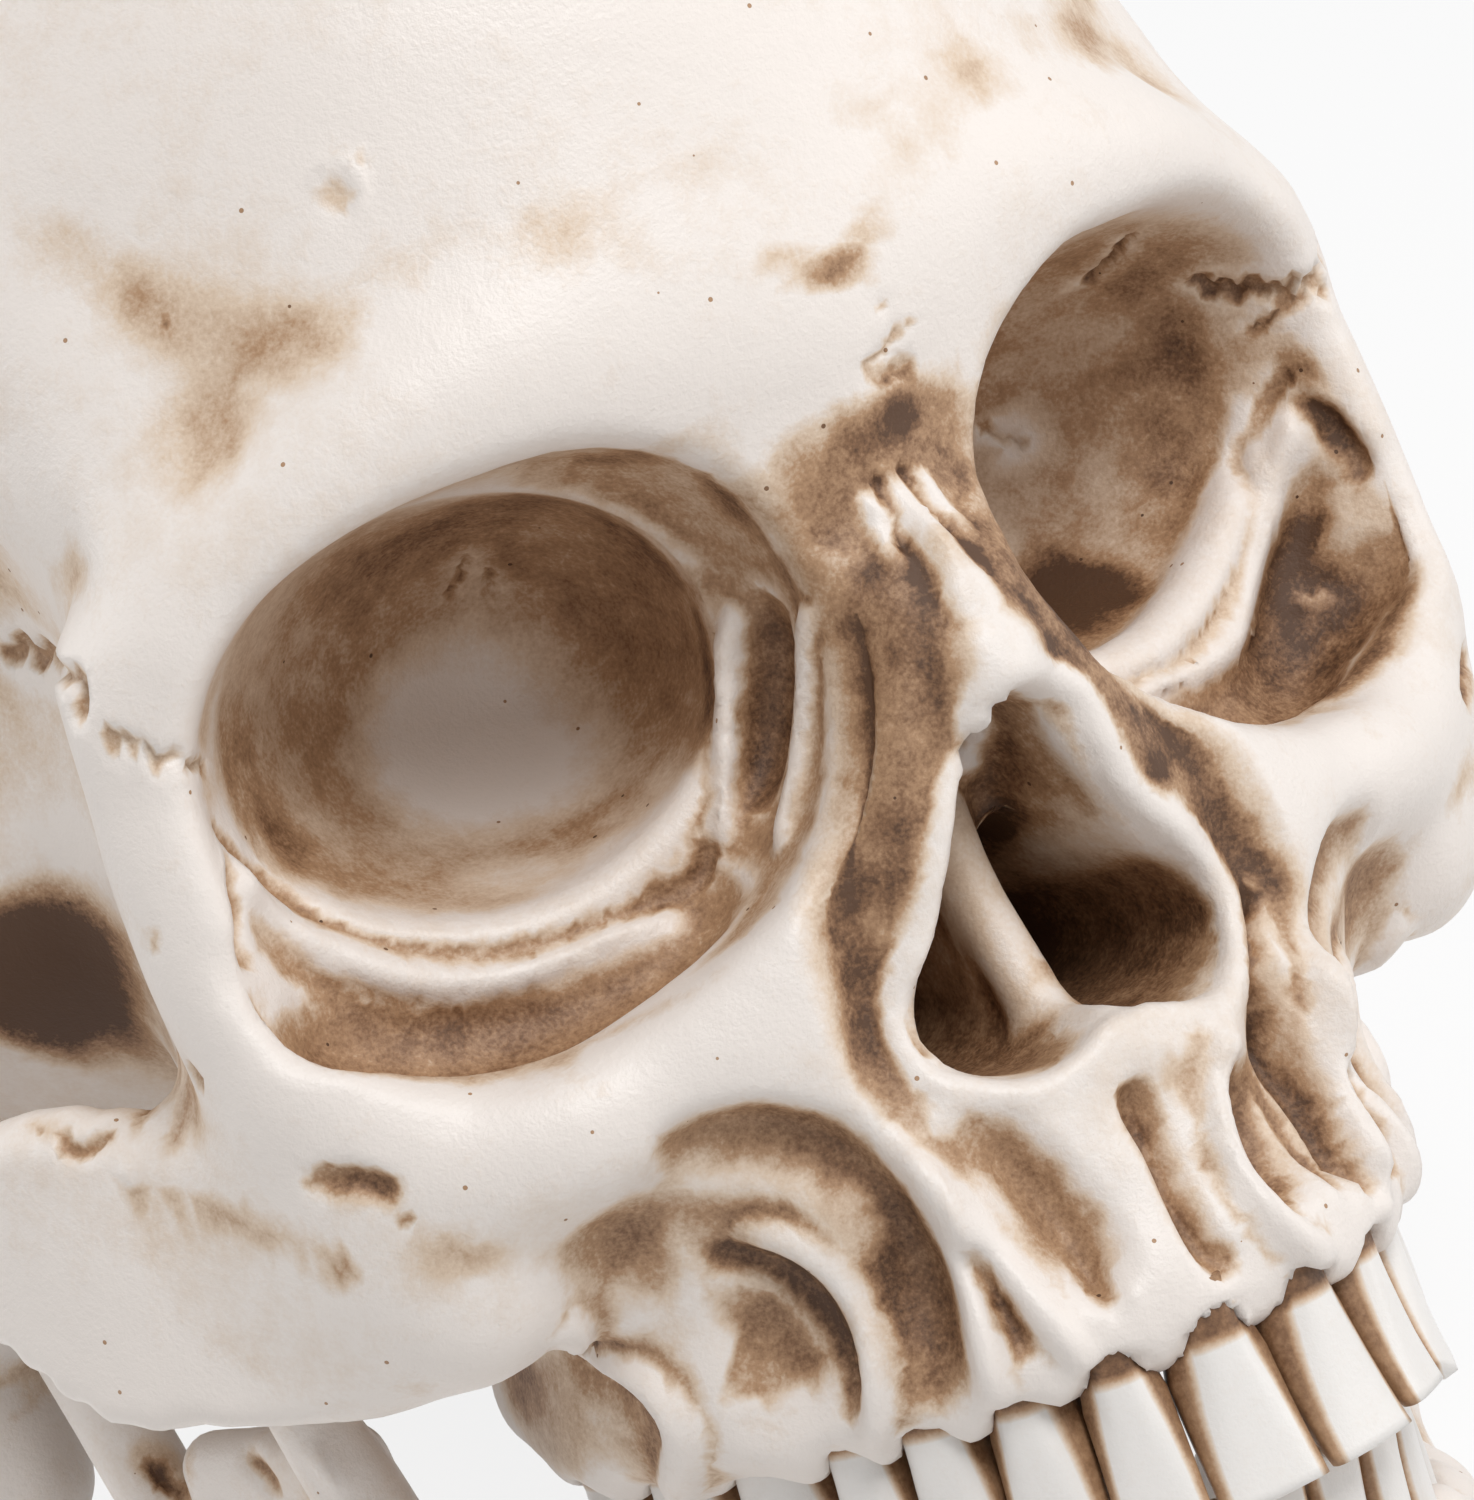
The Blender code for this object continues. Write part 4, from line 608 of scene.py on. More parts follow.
# Painted wash, with painted shade and painted highlight in some rows: half width in mm, strength, whether the other
# side has it too, and its pixels
cranium_washes_and_painted_light = (
    (5.0, 0.55, True, ((700, 490), (760, 500), (820, 470), (870, 440), (915, 420))),
    (2.6, 0.5, False, ((900, 368), (905, 400), (890, 430))),
    (3.0, 0.35, True, ((560, 462), (640, 456), (700, 440), (740, 470))),
    (4.5, 0.32, True, ((100, 292), (180, 318), (280, 340), (370, 352))),
    (2.2, 0.5, True, ((760, 250), (820, 268), (880, 268))),
    (4.5, 0.22, True, ((890, 240), (920, 180), (960, 110), (990, 50))),
    # Orbit: wash on its upper and outer wall and in its deepest part, with painted shade under the brow; then the pale
    # patches, a painted highlight where the bowl faces the light
    # painted shade and wash: the orbit's upper wall darkened under the brow
    (9.0, 0.30, True, ((300, 620), (400, 540), (520, 500), (620, 520), (680, 600))),
    (6.0, 0.30, True, ((250, 700), (240, 780), (290, 850), (340, 900))),
    (3.0, 0.35, True, ((690, 560), (706, 640), (708, 720), (690, 780))),
    # painted highlight: wash wiped off the bowl's middle and its floor, where they face the light
    (15.0, -0.80, True, ((380, 640), (420, 700), (500, 780), (540, 840))),
    (7.0, -0.22, True, ((450, 860), (540, 880), (620, 840), (660, 760))),
    (2.2, 0.35, True, ((440, 1035), (520, 1020), (600, 985), (690, 930))),
    (2.0, 0.5, True, ((300, 1040), (380, 1070), (470, 1076), (560, 1050))),
    # Left orbit
    # painted shade and wash: the far orbit's upper wall darkened under the brow
    (9.0, 0.35, False, ((1040, 300), (1120, 260), (1200, 300), (1220, 400))),
    (7.0, 1.15, False, ((1050, 590), (1090, 590), (1120, 560))),
    (6.0, 0.42, False, ((1300, 500), (1312, 580), (1322, 650))),
    (4.0, -0.4, False, ((1000, 400), (1030, 480))),
    (2.6, 0.5, False, ((1290, 340), (1330, 430), (1370, 520), (1400, 600), (1390, 660))),
    (3.0, 0.4, False, ((1310, 690), (1350, 680), (1390, 640))),
    # Nose, side of the nose, cheek, and the temple hollow, whose dark wash is painted shade
    (9.0, 0.22, False, ((1035, 730), (1055, 790), (1085, 840))),
    (3.5, 0.35, False, ((985, 800), (1010, 880), (1040, 950), (1060, 990))),
    # painted shade: the temple hollow darkened past a full wash, where it lies in deep shade
    (11.0, 1.80, True, ((2, 880), (20, 920), (34, 970), (20, 1020), (2, 1050))),
    (8.0, 0.38, True, ((790, 490), (822, 600), (846, 700), (846, 820), (852, 920), (880, 1020), (930, 1090))),
    (14.0, 0.30, True, ((680, 1200), (780, 1230), (850, 1300), (870, 1400), (850, 1480))),
    (5.8, 0.78, True, ((890, 530), (912, 600), (930, 680), (934, 760), (914, 860), (896, 930))),
    (8.0, 0.22, True, ((300, 1210), (420, 1250), (520, 1240))),
    (9.0, 0.22, False, ((1290, 960), (1310, 1080), (1350, 1180))),
    (3.5, 0.4, False, ((1180, 790), (1165, 770), (1150, 745))),
    (3.2, 0.3, True, ((800, 520), (830, 600), (850, 700))),
    (2.4, 0.35, True, ((150, 1196), (210, 1210), (270, 1236), (320, 1262), (345, 1290))),
    (1.6, 0.35, True, ((345, 1250), (350, 1290))),
    (2.0, 0.3, True, ((320, 1196), (370, 1192), (410, 1200))),
    (2.0, 0.3, True, ((620, 1100), (560, 1060), (660, 1010), (740, 960))),
    (9.0, 0.55, True, ((500, 1400), (560, 1430), (620, 1480))),
    (7.0, 0.45, True, ((600, 1330), (640, 1380), (660, 1440), (660, 1490))),
    (6.0, 0.3, True, ((640, 1240), (700, 1230))),
    (3.0, 0.25, True, ((400, 1400), (460, 1372), (520, 1335))),
    (3.0, 0.3, False, ((1270, 890), (1310, 880))),
)
# The jaw's branch, seen below the cheekbone
mandible_marks = (
    (1.0, 0.9, 0.6, True, ((144, 1458), (164, 1480), (184, 1499))),
    (1.3, -0.8, -0.5, True, ((308, 1442), (330, 1470), (350, 1499))),
    (1.5, 0.9, 0.4, True, ((240, 1450), (262, 1475), (280, 1499))),
)
mandible_washes = (
    (3.0, 0.4, True, ((120, 1450), (200, 1470))),
)

MM = 0.001
TAPER_WIDTHS = 2.0        # a mark fades in over this many half widths
WASH_AND_PAINTED_LIGHT_TAPER = 0.7          # and a painted wash, with its painted shade and highlight, over this many
SHELTER_WAYS = 36
SOFTEN_ROUNDS = 12
SEAM_STEPS = 10
FULL_WIDTH = 1.03         # a front crown's width behind its face, as a share of its place in the row
WASH_REACH = 1.25         # how much wider a mark's wash is than the mark
TOOTH_RING_STEPS = 3
FINE_TOOTH_SIDES = 32
SPIN_STEPS = 40


class SkullSizes(bpy.types.PropertyGroup):
    """How finely the bones are modelled."""

    fine_voxel_share: bpy.props.FloatProperty(name="Bone voxel", default=0.0076, precision=4)
    quick_voxel_share: bpy.props.FloatProperty(name="Trial voxel", default=0.013, precision=4)
    cranium_triangles: bpy.props.IntProperty(name="Cranium triangles", default=190000)
    calvarium_triangles: bpy.props.IntProperty(name="Calvarium triangles", default=110000)
    mandible_triangles: bpy.props.IntProperty(name="Mandible triangles", default=90000)
    shelter_reach: bpy.props.FloatProperty(name="Reach of the wash", default=0.028, subtype="DISTANCE", precision=4)
    gum_scallop: bpy.props.FloatProperty(name="Gum scallop", default=0.0012, subtype="DISTANCE", precision=4)
    gum_thickening: bpy.props.FloatProperty(name="Gum edge", default=0.0006, subtype="DISTANCE", precision=4)
    unevenness: bpy.props.FloatProperty(name="Casting unevenness", default=0.00012, subtype="DISTANCE", precision=5)
    edge_break: bpy.props.FloatProperty(name="Broken edge", default=0.00025, subtype="DISTANCE", precision=5)
    slot_width: bpy.props.FloatProperty(name="Pivot slot", default=0.0006, subtype="DISTANCE", precision=5)


def colour_property(name, colour):
    return bpy.props.FloatVectorProperty(name=name, subtype="COLOR", size=3, min=0, max=1, default=colour)


class SkullColours(bpy.types.PropertyGroup):
    """The casting's, the teeth's, the fittings' and the floor's colours, scene linear. The wash colours also lay the
    painted shade on the bones.
    """

    ivory: colour_property("Ivory", (0.83, 0.765, 0.715))
    cream: colour_property("Cream", (0.69, 0.545, 0.415))
    tan: colour_property("Tan wash", (0.42, 0.252, 0.140))
    umber: colour_property("Umber wash", (0.20, 0.100, 0.047))
    dark: colour_property("Dark wash", (0.080, 0.035, 0.014))
    enamel: colour_property("Enamel", (0.82, 0.79, 0.76))
    steel: colour_property("Steel", (0.62, 0.61, 0.60))
    floor: colour_property("Floor", (0.86, 0.86, 0.86))


class StageLooks(bpy.types.PropertyGroup):
    """Lamp powers in watts, and the world's light."""

    key_power: bpy.props.FloatProperty(name="Key", default=4.4)
    fill_power: bpy.props.FloatProperty(name="Fill", default=1.3)
    rim_power: bpy.props.FloatProperty(name="Rim", default=0.9)
    world_light: bpy.props.FloatProperty(name="World", default=0.37)
    floor_share: bpy.props.FloatProperty(name="White share of the floor", default=0.85)


# Blender objects

def skull_matrix():
    """The skull's own frame in the world, from the jaw's hinge and the calvarium's lift."""
    joints = {joint["name"]: joint for joint in frame["joints"]}
    up = Vector(joints["calvarium_lift"]["axis"])
    lean = Matrix.Rotation(math.atan2(-up.y, up.z), 4, "X")
    hinge = Vector((0, *(np.array(condyle_share)[1:] * SIZE[1:])))
    return Matrix.Translation(Vector(joints["jaw_hinge"]["pos_m"]) - lean @ hinge) @ lean


def new_object(name, bm, material=None):
    mesh = bpy.data.meshes.new(name)
    bm.to_mesh(mesh)
    bm.free()
    obj = bpy.data.objects.new(name, mesh)
    bpy.context.scene.collection.objects.link(obj)
    if material:
        mesh.materials.append(material)
    return obj


def discard(obj):
    mesh = obj.data
    bpy.data.objects.remove(obj)
    bpy.data.meshes.remove(mesh)


def apply_modifiers(obj):
    graph = bpy.context.evaluated_depsgraph_get()
    mesh = bpy.data.meshes.new_from_object(obj.evaluated_get(graph))
    obj.modifiers.clear()
    old = obj.data
    obj.data = mesh
    bpy.data.meshes.remove(old)


def boolean(obj, cutter, solver="MANIFOLD"):
    """Takes the cutter out of the object, and the cutter out of the scene."""
    modifier = obj.modifiers.new("cut", "BOOLEAN")
    modifier.operation = "DIFFERENCE"
    modifier.solver = solver
    modifier.object = cutter
    apply_modifiers(obj)
    discard(cutter)
    if not obj.data.polygons:
        raise RuntimeError(f"the cut left nothing of {obj.name}")


def remesh(obj, voxel):
    modifier = obj.modifiers.new("even mesh", "REMESH")
    modifier.mode = "VOXEL"
    modifier.voxel_size = voxel
    apply_modifiers(obj)


def thin(obj, triangles):
    have = sum(len(polygon.vertices) - 2 for polygon in obj.data.polygons)
    modifier = obj.modifiers.new("thin", "DECIMATE")
    modifier.ratio = min(1, triangles / have)
    modifier.use_collapse_triangulate = True
    apply_modifiers(obj)


def mesh_state(obj):
    """The places and normals of an object's vertices."""
    mesh = obj.data
    places = np.empty(len(mesh.vertices) * 3, np.float32)
    normals = np.empty(len(mesh.vertices) * 3, np.float32)
    mesh.vertices.foreach_get("co", places)
    mesh.vertex_normals.foreach_get("vector", normals)
    return places.reshape(-1, 3).astype(float), normals.reshape(-1, 3).astype(float)


def set_places(obj, places):
    obj.data.vertices.foreach_set("co", places.astype(np.float32).ravel())
    obj.data.update()


def settle(obj, distance, most):
    """Moves each vertex along its normal onto the form, by most at the furthest."""
    places, normals = mesh_state(obj)
    set_places(obj, places - normals * np.clip(distance(places), -most, most)[:, None])


def add_ball(bm, centre, radii):
    matrix = Matrix.Translation(centre) @ Matrix.Diagonal((*radii, 1))
    bmesh.ops.create_icosphere(bm, subdivisions=2, radius=1, matrix=matrix)


def blank(lumps):
    """Balls along each lump on both sides: the rough shape that the skin starts from."""
    bm = bmesh.new()
    for kind, table, _ in lumps:
        rows = [table] if kind == "egg" else curve_points(table)
        for row in rows:
            centre, radii = row if kind == "egg" else (row[:3], (row[3], row[3], row[-1]))
            for side in JAW_SIDES.values():
                add_ball(bm, (side * centre[0], centre[1], centre[2]), radii)
    return bm


def skin(name, lumps, distance, passes):
    """One closed skin on a form, in metres: a blank, pressed and remeshed ever finer."""
    obj = new_object(name, blank(lumps))
    for voxel, count in passes:
        for _ in range(count):
            remesh(obj, voxel)
            settle(obj, distance, settle_share * voxel)
    settle(obj, distance, voxel)
    obj.data.transform(Matrix.Diagonal((*SIZE, 1)))
    return obj


def bone_passes(sizes):
    fine = sizes.fine_voxel_share
    return ((middle_share, MIDDLE_PASSES), (fine_share, 1), (fine, 1))


def box(name, low, high):
    bm = bmesh.new()
    low, high = Vector(low), Vector(high)
    matrix = Matrix.Translation((low + high) / 2) @ Matrix.Diagonal((*(high - low), 1))
    bmesh.ops.create_cube(bm, size=1, matrix=matrix)
    return new_object(name, bm)


def turned(name, start, end, profile, material=None):
    """A round piece: (radius, distance from start) pairs, spun about the line from start to end."""
    start, end = Vector(start), Vector(end)
    bm = bmesh.new()
    corners = [bm.verts.new((radius, 0, along)) for radius, along in profile]
    edges = [bm.edges.new(pair) for pair in zip(corners[:-1], corners[1:])]
    bmesh.ops.spin(bm, geom=corners + edges, axis=(0, 0, 1), cent=(0, 0, 0), angle=math.tau, steps=SPIN_STEPS)
    bmesh.ops.remove_doubles(bm, verts=bm.verts, dist=1e-6)
    bmesh.ops.recalc_face_normals(bm, faces=bm.faces)
    turn = (end - start).to_track_quat("Z", "Y").to_matrix().to_4x4()
    bmesh.ops.transform(bm, matrix=Matrix.Translation(start) @ turn, verts=bm.verts)
    return new_object(name, bm, material)


def rod_cutter(start, end, radius):
    length = (Vector(end) - Vector(start)).length
    return turned("bore", start, end, ((0, 0), (radius, 0), (radius, length), (0, length)))


def finish_piece(piece, body, slot, *nodes):
    """Sets a finished piece on its body in place of its nodes, which it hides; the slot is not used."""
    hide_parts(*nodes)
    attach(piece, body)


# Marks and wash

def picture_ray(pixel):
    across = (pixel[0] - PICTURE[0] / 2) / FOCAL_PIXELS
    down = (pixel[1] - PICTURE[1] / 2) / FOCAL_PIXELS
    return (CAMERA_FORWARD + CAMERA_RIGHT * across + CAMERA_DOWN * down).normalized()


def place_line(tree, pixels):
    """The pixels' line on the bone, as places and the bone's normals there."""
    knots = curve_points(pixels) if len(pixels) > 1 else pixels
    hits = [tree.ray_cast(CAMERA_PLACE, picture_ray(pixel)) for pixel in knots]
    hits = [(place, normal) for place, normal, _, _ in hits if place is not None]
    if not hits:
        raise RuntimeError(f"no bone lies behind the mark at {pixels[0]}")
    return np.array([hit[0] for hit in hits]), np.array([hit[1] for hit in hits])


def place_table(obj, table):
    """Each row of a mark table with its line on the bone, and the mirrored line where it has one."""
    tree = BVHTree.FromObject(obj, bpy.context.evaluated_depsgraph_get())
    placed = []
    for *values, mirrored, pixels in table:
        points, facing = place_line(tree, pixels)
        placed.append((values, points, facing))
        if mirrored:
            placed.append((values, points * (-1, 1, 1), facing * (-1, 1, 1)))
    return placed


def place_seams(obj, table):
    """Each seam's zigzag line on the vault, struck outward from the braincase's middle."""
    tree = BVHTree.FromObject(obj, bpy.context.evaluated_depsgraph_get())
    middle = np.mean([centre for centre, _ in vault_shares], axis=0) * SIZE * (0, 1, 1)
    placed = []
    for *values, sway, places in table:
        knots = curve_points(places, steps=SEAM_STEPS) * SIZE
        across = np.cross(np.gradient(knots, axis=0), knots - middle)
        across /= np.linalg.norm(across, axis=1)[:, None]
        turns = np.arange(len(knots))
        knots = knots + across * (sway * MM * (-1.0)**turns * (0.7 + 0.3 * np.sin(2.3 * turns)))[:, None]
        for side in (1, -1) if knots[:, 0].max() > SIZE[0] / 10 else (1,):
            ways = (knots - middle) * (side, 1, 1)
            hits = [tree.ray_cast(Vector(middle), Vector(way).normalized())[:2] for way in ways]
            placed.append((values, np.array([hit[0] for hit in hits]), np.array([hit[1] for hit in hits])))
    return placed


def line_amount(places, normals, points, facing, half_width, taper=TAPER_WIDTHS):
    """The places that a line reaches, and how strongly: 1 on it, 0 at its half width, faded at its ends."""
    low, high = points.min(0) - half_width, points.max(0) + half_width
    near = np.flatnonzero(((places > low) & (places < high)).all(1))
    at, turned_to = places[near], normals[near]
    ends = points[1:] if len(points) > 1 else points
    best = np.full(len(near), np.inf)
    along = np.zeros(len(near))
    agree = np.zeros(len(near))
    travelled = 0.0
    for start, end, normal in zip(points, ends, facing):
        length = np.linalg.norm(end - start)
        run = (end - start) / max(length, 1e-9)
        off = at - start
        reach = np.clip(off @ run, 0, length)
        gap = np.sqrt(((off - reach[:, None] * run)**2).sum(1))
        closer = gap < best
        best[closer] = gap[closer]
        along[closer] = travelled + reach[closer]
        agree[closer] = turned_to[closer] @ normal
        travelled += length
    amount = np.clip(1 - (best / half_width)**2, 0, 1)**2 * np.clip(2 * agree, 0, 1)
    closed = np.linalg.norm(points[0] - points[-1]) < half_width
    if not closed:
        fade = np.clip(np.minimum(along, travelled - along) / (taper * half_width), 0, 1)
        amount *= fade * (2 - fade)
    return near, amount


def soften(obj, lines):
    """Evens out the bone along each line."""
    for (half_width,), points, facing in lines:
        places, normals = mesh_state(obj)
        near, amount = line_amount(places, normals, points, facing, half_width * MM)
        smooth = neighbour_means(obj.data, places, SOFTEN_ROUNDS)
        places[near] += (smooth - places)[near] * amount[:, None]
        set_places(obj, places)


def carve(obj, marks):
    places, normals = mesh_state(obj)
    inward = np.zeros(len(places))
    for (half_width, depth, _), points, facing in marks:
        near, amount = line_amount(places, normals, points, facing, half_width * MM)
        inward[near] += depth * MM * amount
    set_places(obj, places - normals * inward[:, None])


def scallop(bone, row, sizes):
    """Draws the bone's edge towards the bite between the teeth and back over each crown, and thickens it."""
    places, normals = mesh_state(bone)
    toward = row["toward_bite"]
    at_edge = np.exp(-((places[:, 2] - row["gum"] * FACE_HEIGHT) / (2 * sizes.gum_scallop))**2)
    smooth = neighbour_means(bone.data, places, 6)
    places += (smooth - places) * at_edge[:, None]
    height = (places[:, 2] - row["gum"] * FACE_HEIGHT) * -toward / sizes.gum_scallop
    at_edge = np.exp(-(height / 2)**2)
    above = np.exp(-((height - 1.2) / 1.4)**2)
    moved = np.zeros(len(places))
    swollen = np.zeros(len(places))
    for side in JAW_SIDES.values():
        for tooth in row_layout(row):
            matrix = tooth_matrix(tooth, row, side)
            outward = -np.array(matrix.col[1][:3])
            for across, amount in ((-0.5, 0.5), (0, -0.55), (0.5, 0.5)):
                middle = matrix @ Vector((across * tooth["width"], 0, 0))
                away = np.hypot(places[:, 0] - middle.x, places[:, 1] - middle.y) / tooth["width"]
                moved += amount * np.exp(-(away / 0.26)**2)
            away = np.hypot(places[:, 0] - middle.x, places[:, 1] - middle.y) / tooth["width"]
            swollen = np.maximum(swollen, np.exp(-away**2) * np.clip(normals @ outward, 0, 1))
    places[:, 2] += toward * sizes.gum_scallop * moved * at_edge
    set_places(bone, places + normals * (sizes.gum_thickening * swollen * above)[:, None])


def roughen(obj, most):
    """Slow hand-made unevenness: a few crossed waves."""
    places, normals = mesh_state(obj)
    waves = (((0.7, 0.6, 0.4), 9), ((-0.5, 0.8, 0.3), 13), ((0.2, -0.4, 0.9), 11), ((0.9, -0.1, -0.5), 17))
    height = sum(np.sin(places @ np.array(way) / MM / length * math.tau + length) for way, length in waves)
    set_places(obj, places + normals * (most * height / len(waves))[:, None])


def neighbour_means(mesh, values, rounds):
    """The values averaged over each vertex's neighbours, rounds times."""
    ends = np.empty(len(mesh.edges) * 2, np.int32)
    mesh.edges.foreach_get("vertices", ends)
    first, second = ends.reshape(-1, 2).T
    count = len(mesh.vertices)
    degree = np.bincount(first, minlength=count) + np.bincount(second, minlength=count)
    for _ in range(rounds):
        total = np.stack([np.bincount(first, column[second], count) + np.bincount(second, column[first], count)
                          for column in values.T], 1)
        values = total / np.maximum(degree, 1)[:, None]
    return values


def shelter_of(obj, reach):
    """How much of the air over each vertex the bone closes off within a reach: 0 in the open, 1 shut in."""
    tree = BVHTree.FromObject(obj, bpy.context.evaluated_depsgraph_get())
    places, normals = mesh_state(obj)
    steps = np.arange(SHELTER_WAYS) + 0.5
    heights = 1 - 2 * steps / SHELTER_WAYS
    turns = steps * math.pi * (3 - math.sqrt(5))
    flat = np.sqrt(1 - heights**2)
    ways = np.stack((flat * np.cos(turns), flat * np.sin(turns), heights), 1)
    starts = places + normals * reach * 0.01
    shut = np.zeros(len(places))
    weight = np.zeros(len(places))
    for way in ways:
        facing = normals @ way
        direction = Vector(way)
        for index in np.flatnonzero(facing > 0.1).tolist():
            gap = tree.ray_cast(starts[index], direction, reach)[3]
            if gap is not None:
                shut[index] += facing[index] * (1 - gap / reach)
        weight += np.clip(facing, 0, None)
    return neighbour_means(obj.data, (shut / np.maximum(weight, 1))[:, None], 5)[:, 0]


def wash_and_painted_light_of(obj, marks, washes_and_painted_light, sizes):
    """How much wash each vertex holds: in hollows, in creases, in the marks and where it was painted, with the painted
    shade and painted highlight of the listed washes.
    """
    places, normals = mesh_state(obj)
    wash_and_painted_light = np.clip(1.10 * shelter_of(obj, sizes.shelter_reach) - 0.02, 0, 0.44)
    crease = ((neighbour_means(obj.data, places, 5) - places) * normals).sum(1)
    wash_and_painted_light += np.clip(crease / (0.45 * MM), -0.20, 0.35)
    for (half_width, _, strength), points, facing in marks:
        reached, amount = line_amount(places, normals, points, facing, WASH_REACH * half_width * MM)
        wash_and_painted_light[reached] += strength * amount
    for (half_width, strength), points, facing in washes_and_painted_light:
        reached, amount = line_amount(places, normals, points, facing, half_width * MM, WASH_AND_PAINTED_LIGHT_TAPER)
        wash_and_painted_light[reached] += strength * amount
    return np.clip(wash_and_painted_light, 0, 1.2)


def store(obj, name, values):
    if name in obj.data.attributes:
        obj.data.attributes.remove(obj.data.attributes[name])
    layer = obj.data.attributes.new(name, "FLOAT", "POINT")
    layer.data.foreach_set("value", values.astype(np.float32))


# Materials

class Shader:
    """A material's node tree, built from the output back."""

    def __init__(self, name):
        self.material = bpy.data.materials.new(name)
        self.material.use_nodes = True
        self.tree = self.material.node_tree
        self.principled = self.tree.nodes["Principled BSDF"]
        self.coordinates = self.add("ShaderNodeTexCoord").outputs["Object"]

    def add(self, kind, settings=(), **inputs):
        made = self.tree.nodes.new(kind)
        for name, value in dict(settings).items():
            setattr(made, name, value)
        for name, value in inputs.items():
            self.feed(made.inputs[int(name[1:]) if name[0] == "i" and name[1:].isdigit() else name.replace("_", " ")],
                      value)
        return made

    def feed(self, socket, value):
        if isinstance(value, bpy.types.NodeSocket):
            self.tree.links.new(value, socket)
        else:
            socket.default_value = value

    def attribute(self, name):
        return self.add("ShaderNodeAttribute", {"attribute_name": name}).outputs["Fac"]

    def noise(self, scale, detail, roughness=0.5):
        return self.add("ShaderNodeTexNoise", Vector=self.coordinates, Scale=scale, Detail=detail,
                        Roughness=roughness).outputs["Fac"]

    def maths(self, operation, first, second, clamp=False):
        made = self.add("ShaderNodeMath", {"operation": operation, "use_clamp": clamp}, i0=first, i1=second)
        return made.outputs["Value"]

    def scaled(self, value, factor, least):
        """least, and factor times the value on top."""
        made = self.add("ShaderNodeMath", {"operation": "MULTIPLY_ADD"}, i0=value, i1=factor, i2=least)
        return made.outputs["Value"]

    def spread(self, fac, amount):
        """Noise about its middle, times an amount."""
        return self.maths("MULTIPLY", self.maths("SUBTRACT", fac, 0.5), amount)

    def ramp(self, fac, stops):
        made = self.add("ShaderNodeValToRGB", Fac=fac)
        elements = made.color_ramp.elements
        while len(elements) < len(stops):
            elements.new(0.5)
        for element, (place, colour) in zip(elements, stops):
            element.position = place
            element.color = (*colour, 1)
        return made.outputs["Color"]

    def pinholes(self, scale, radius, kept):
        """1 inside a scattering of small holes."""
        cells = self.add("ShaderNodeTexVoronoi", Vector=self.coordinates, Scale=scale)
        inside = self.maths("LESS_THAN", cells.outputs["Distance"], radius)
        parts = self.add("ShaderNodeSeparateColor", Color=cells.outputs["Color"])
        return self.maths("MULTIPLY", inside, self.maths("GREATER_THAN", parts.outputs["Red"], 1 - kept))

    def bump(self, height, distance, strength):
        made = self.add("ShaderNodeBump", Height=height, Distance=distance, Strength=strength)
        self.feed(self.principled.inputs["Normal"], made.outputs["Normal"])


def wash_and_painted_light_stops(colours, clean):
    return ((0.0, clean), (0.24, colours.cream), (0.52, colours.tan), (0.80, colours.umber), (1.0, colours.dark))


def resin_material(colours):
    """Cast resin: ivory, with a speckled umber wash that also holds painted shade and painted highlight, fine grain and
    pinholes.
    """
    shader = Shader("cast_resin")
    wash_and_painted_light = shader.attribute("wash_and_painted_light")
    blotch = shader.noise(45, 4, 0.6)
    patch = shader.noise(420, 5, 0.65)
    grain = shader.noise(2600, 3, 0.6)
    held = shader.maths("MINIMUM", wash_and_painted_light, 0.8)
    value = shader.maths("ADD", wash_and_painted_light, shader.spread(blotch, 0.42))
    value = shader.maths("ADD", value, shader.spread(patch, shader.scaled(held, 0.75, 0.20)))
    value = shader.maths("ADD", value, shader.spread(grain, shader.scaled(held, 0.70, 0.12)))
    holes = shader.pinholes(340, 0.06, 0.5)
    value = shader.maths("ADD", value, shader.maths("MULTIPLY", holes, 0.55), clamp=True)
    colour = shader.ramp(value, wash_and_painted_light_stops(colours, colours.ivory))
    shader.feed(shader.principled.inputs["Base Color"], colour)
    shader.feed(shader.principled.inputs["Roughness"], shader.scaled(value, 0.22, 0.42))
    height = shader.maths("ADD", shader.maths("MULTIPLY", grain, 0.35), shader.maths("MULTIPLY", patch, 0.65))
    height = shader.maths("SUBTRACT", height, holes)
    shader.bump(height, 0.00030, 0.6)
    return shader.material


def enamel_material(colours):
    """Cast teeth: whiter and smoother than the bone, with wash where they meet."""
    shader = Shader("tooth_enamel")
    wash_and_painted_light = shader.attribute("wash_and_painted_light")
    patch = shader.noise(600, 4, 0.6)
    grain = shader.noise(2600, 3, 0.6)
    value = shader.maths("ADD", wash_and_painted_light, shader.spread(patch, shader.scaled(wash_and_painted_light, 0.60, 0.06)))
    value = shader.maths("ADD", value, shader.spread(grain, shader.scaled(wash_and_painted_light, 0.45, 0.06)), clamp=True)
    shader.feed(shader.principled.inputs["Base Color"], shader.ramp(value, wash_and_painted_light_stops(colours, colours.enamel)))
    shader.feed(shader.principled.inputs["Roughness"], shader.scaled(value, 0.25, 0.30))
    shader.bump(shader.maths("ADD", grain, patch), 0.00010, 0.4)
    return shader.material


def steel_material(colours):
    """Turned steel with a fine grain."""
    shader = Shader("brushed_steel")
    shader.principled.inputs["Base Color"].default_value = (*colours.steel, 1)
    shader.principled.inputs["Metallic"].default_value = 1
    grain = shader.noise(5200, 2)
    shader.feed(shader.principled.inputs["Roughness"], shader.scaled(grain, 0.3, 0.22))
    shader.bump(grain, 0.00003, 0.3)
    return shader.material


def material(name, make):
    """The named material, made once."""
    return bpy.data.materials.get(name) or make(bpy.context.scene.skull_colours)


# Teeth

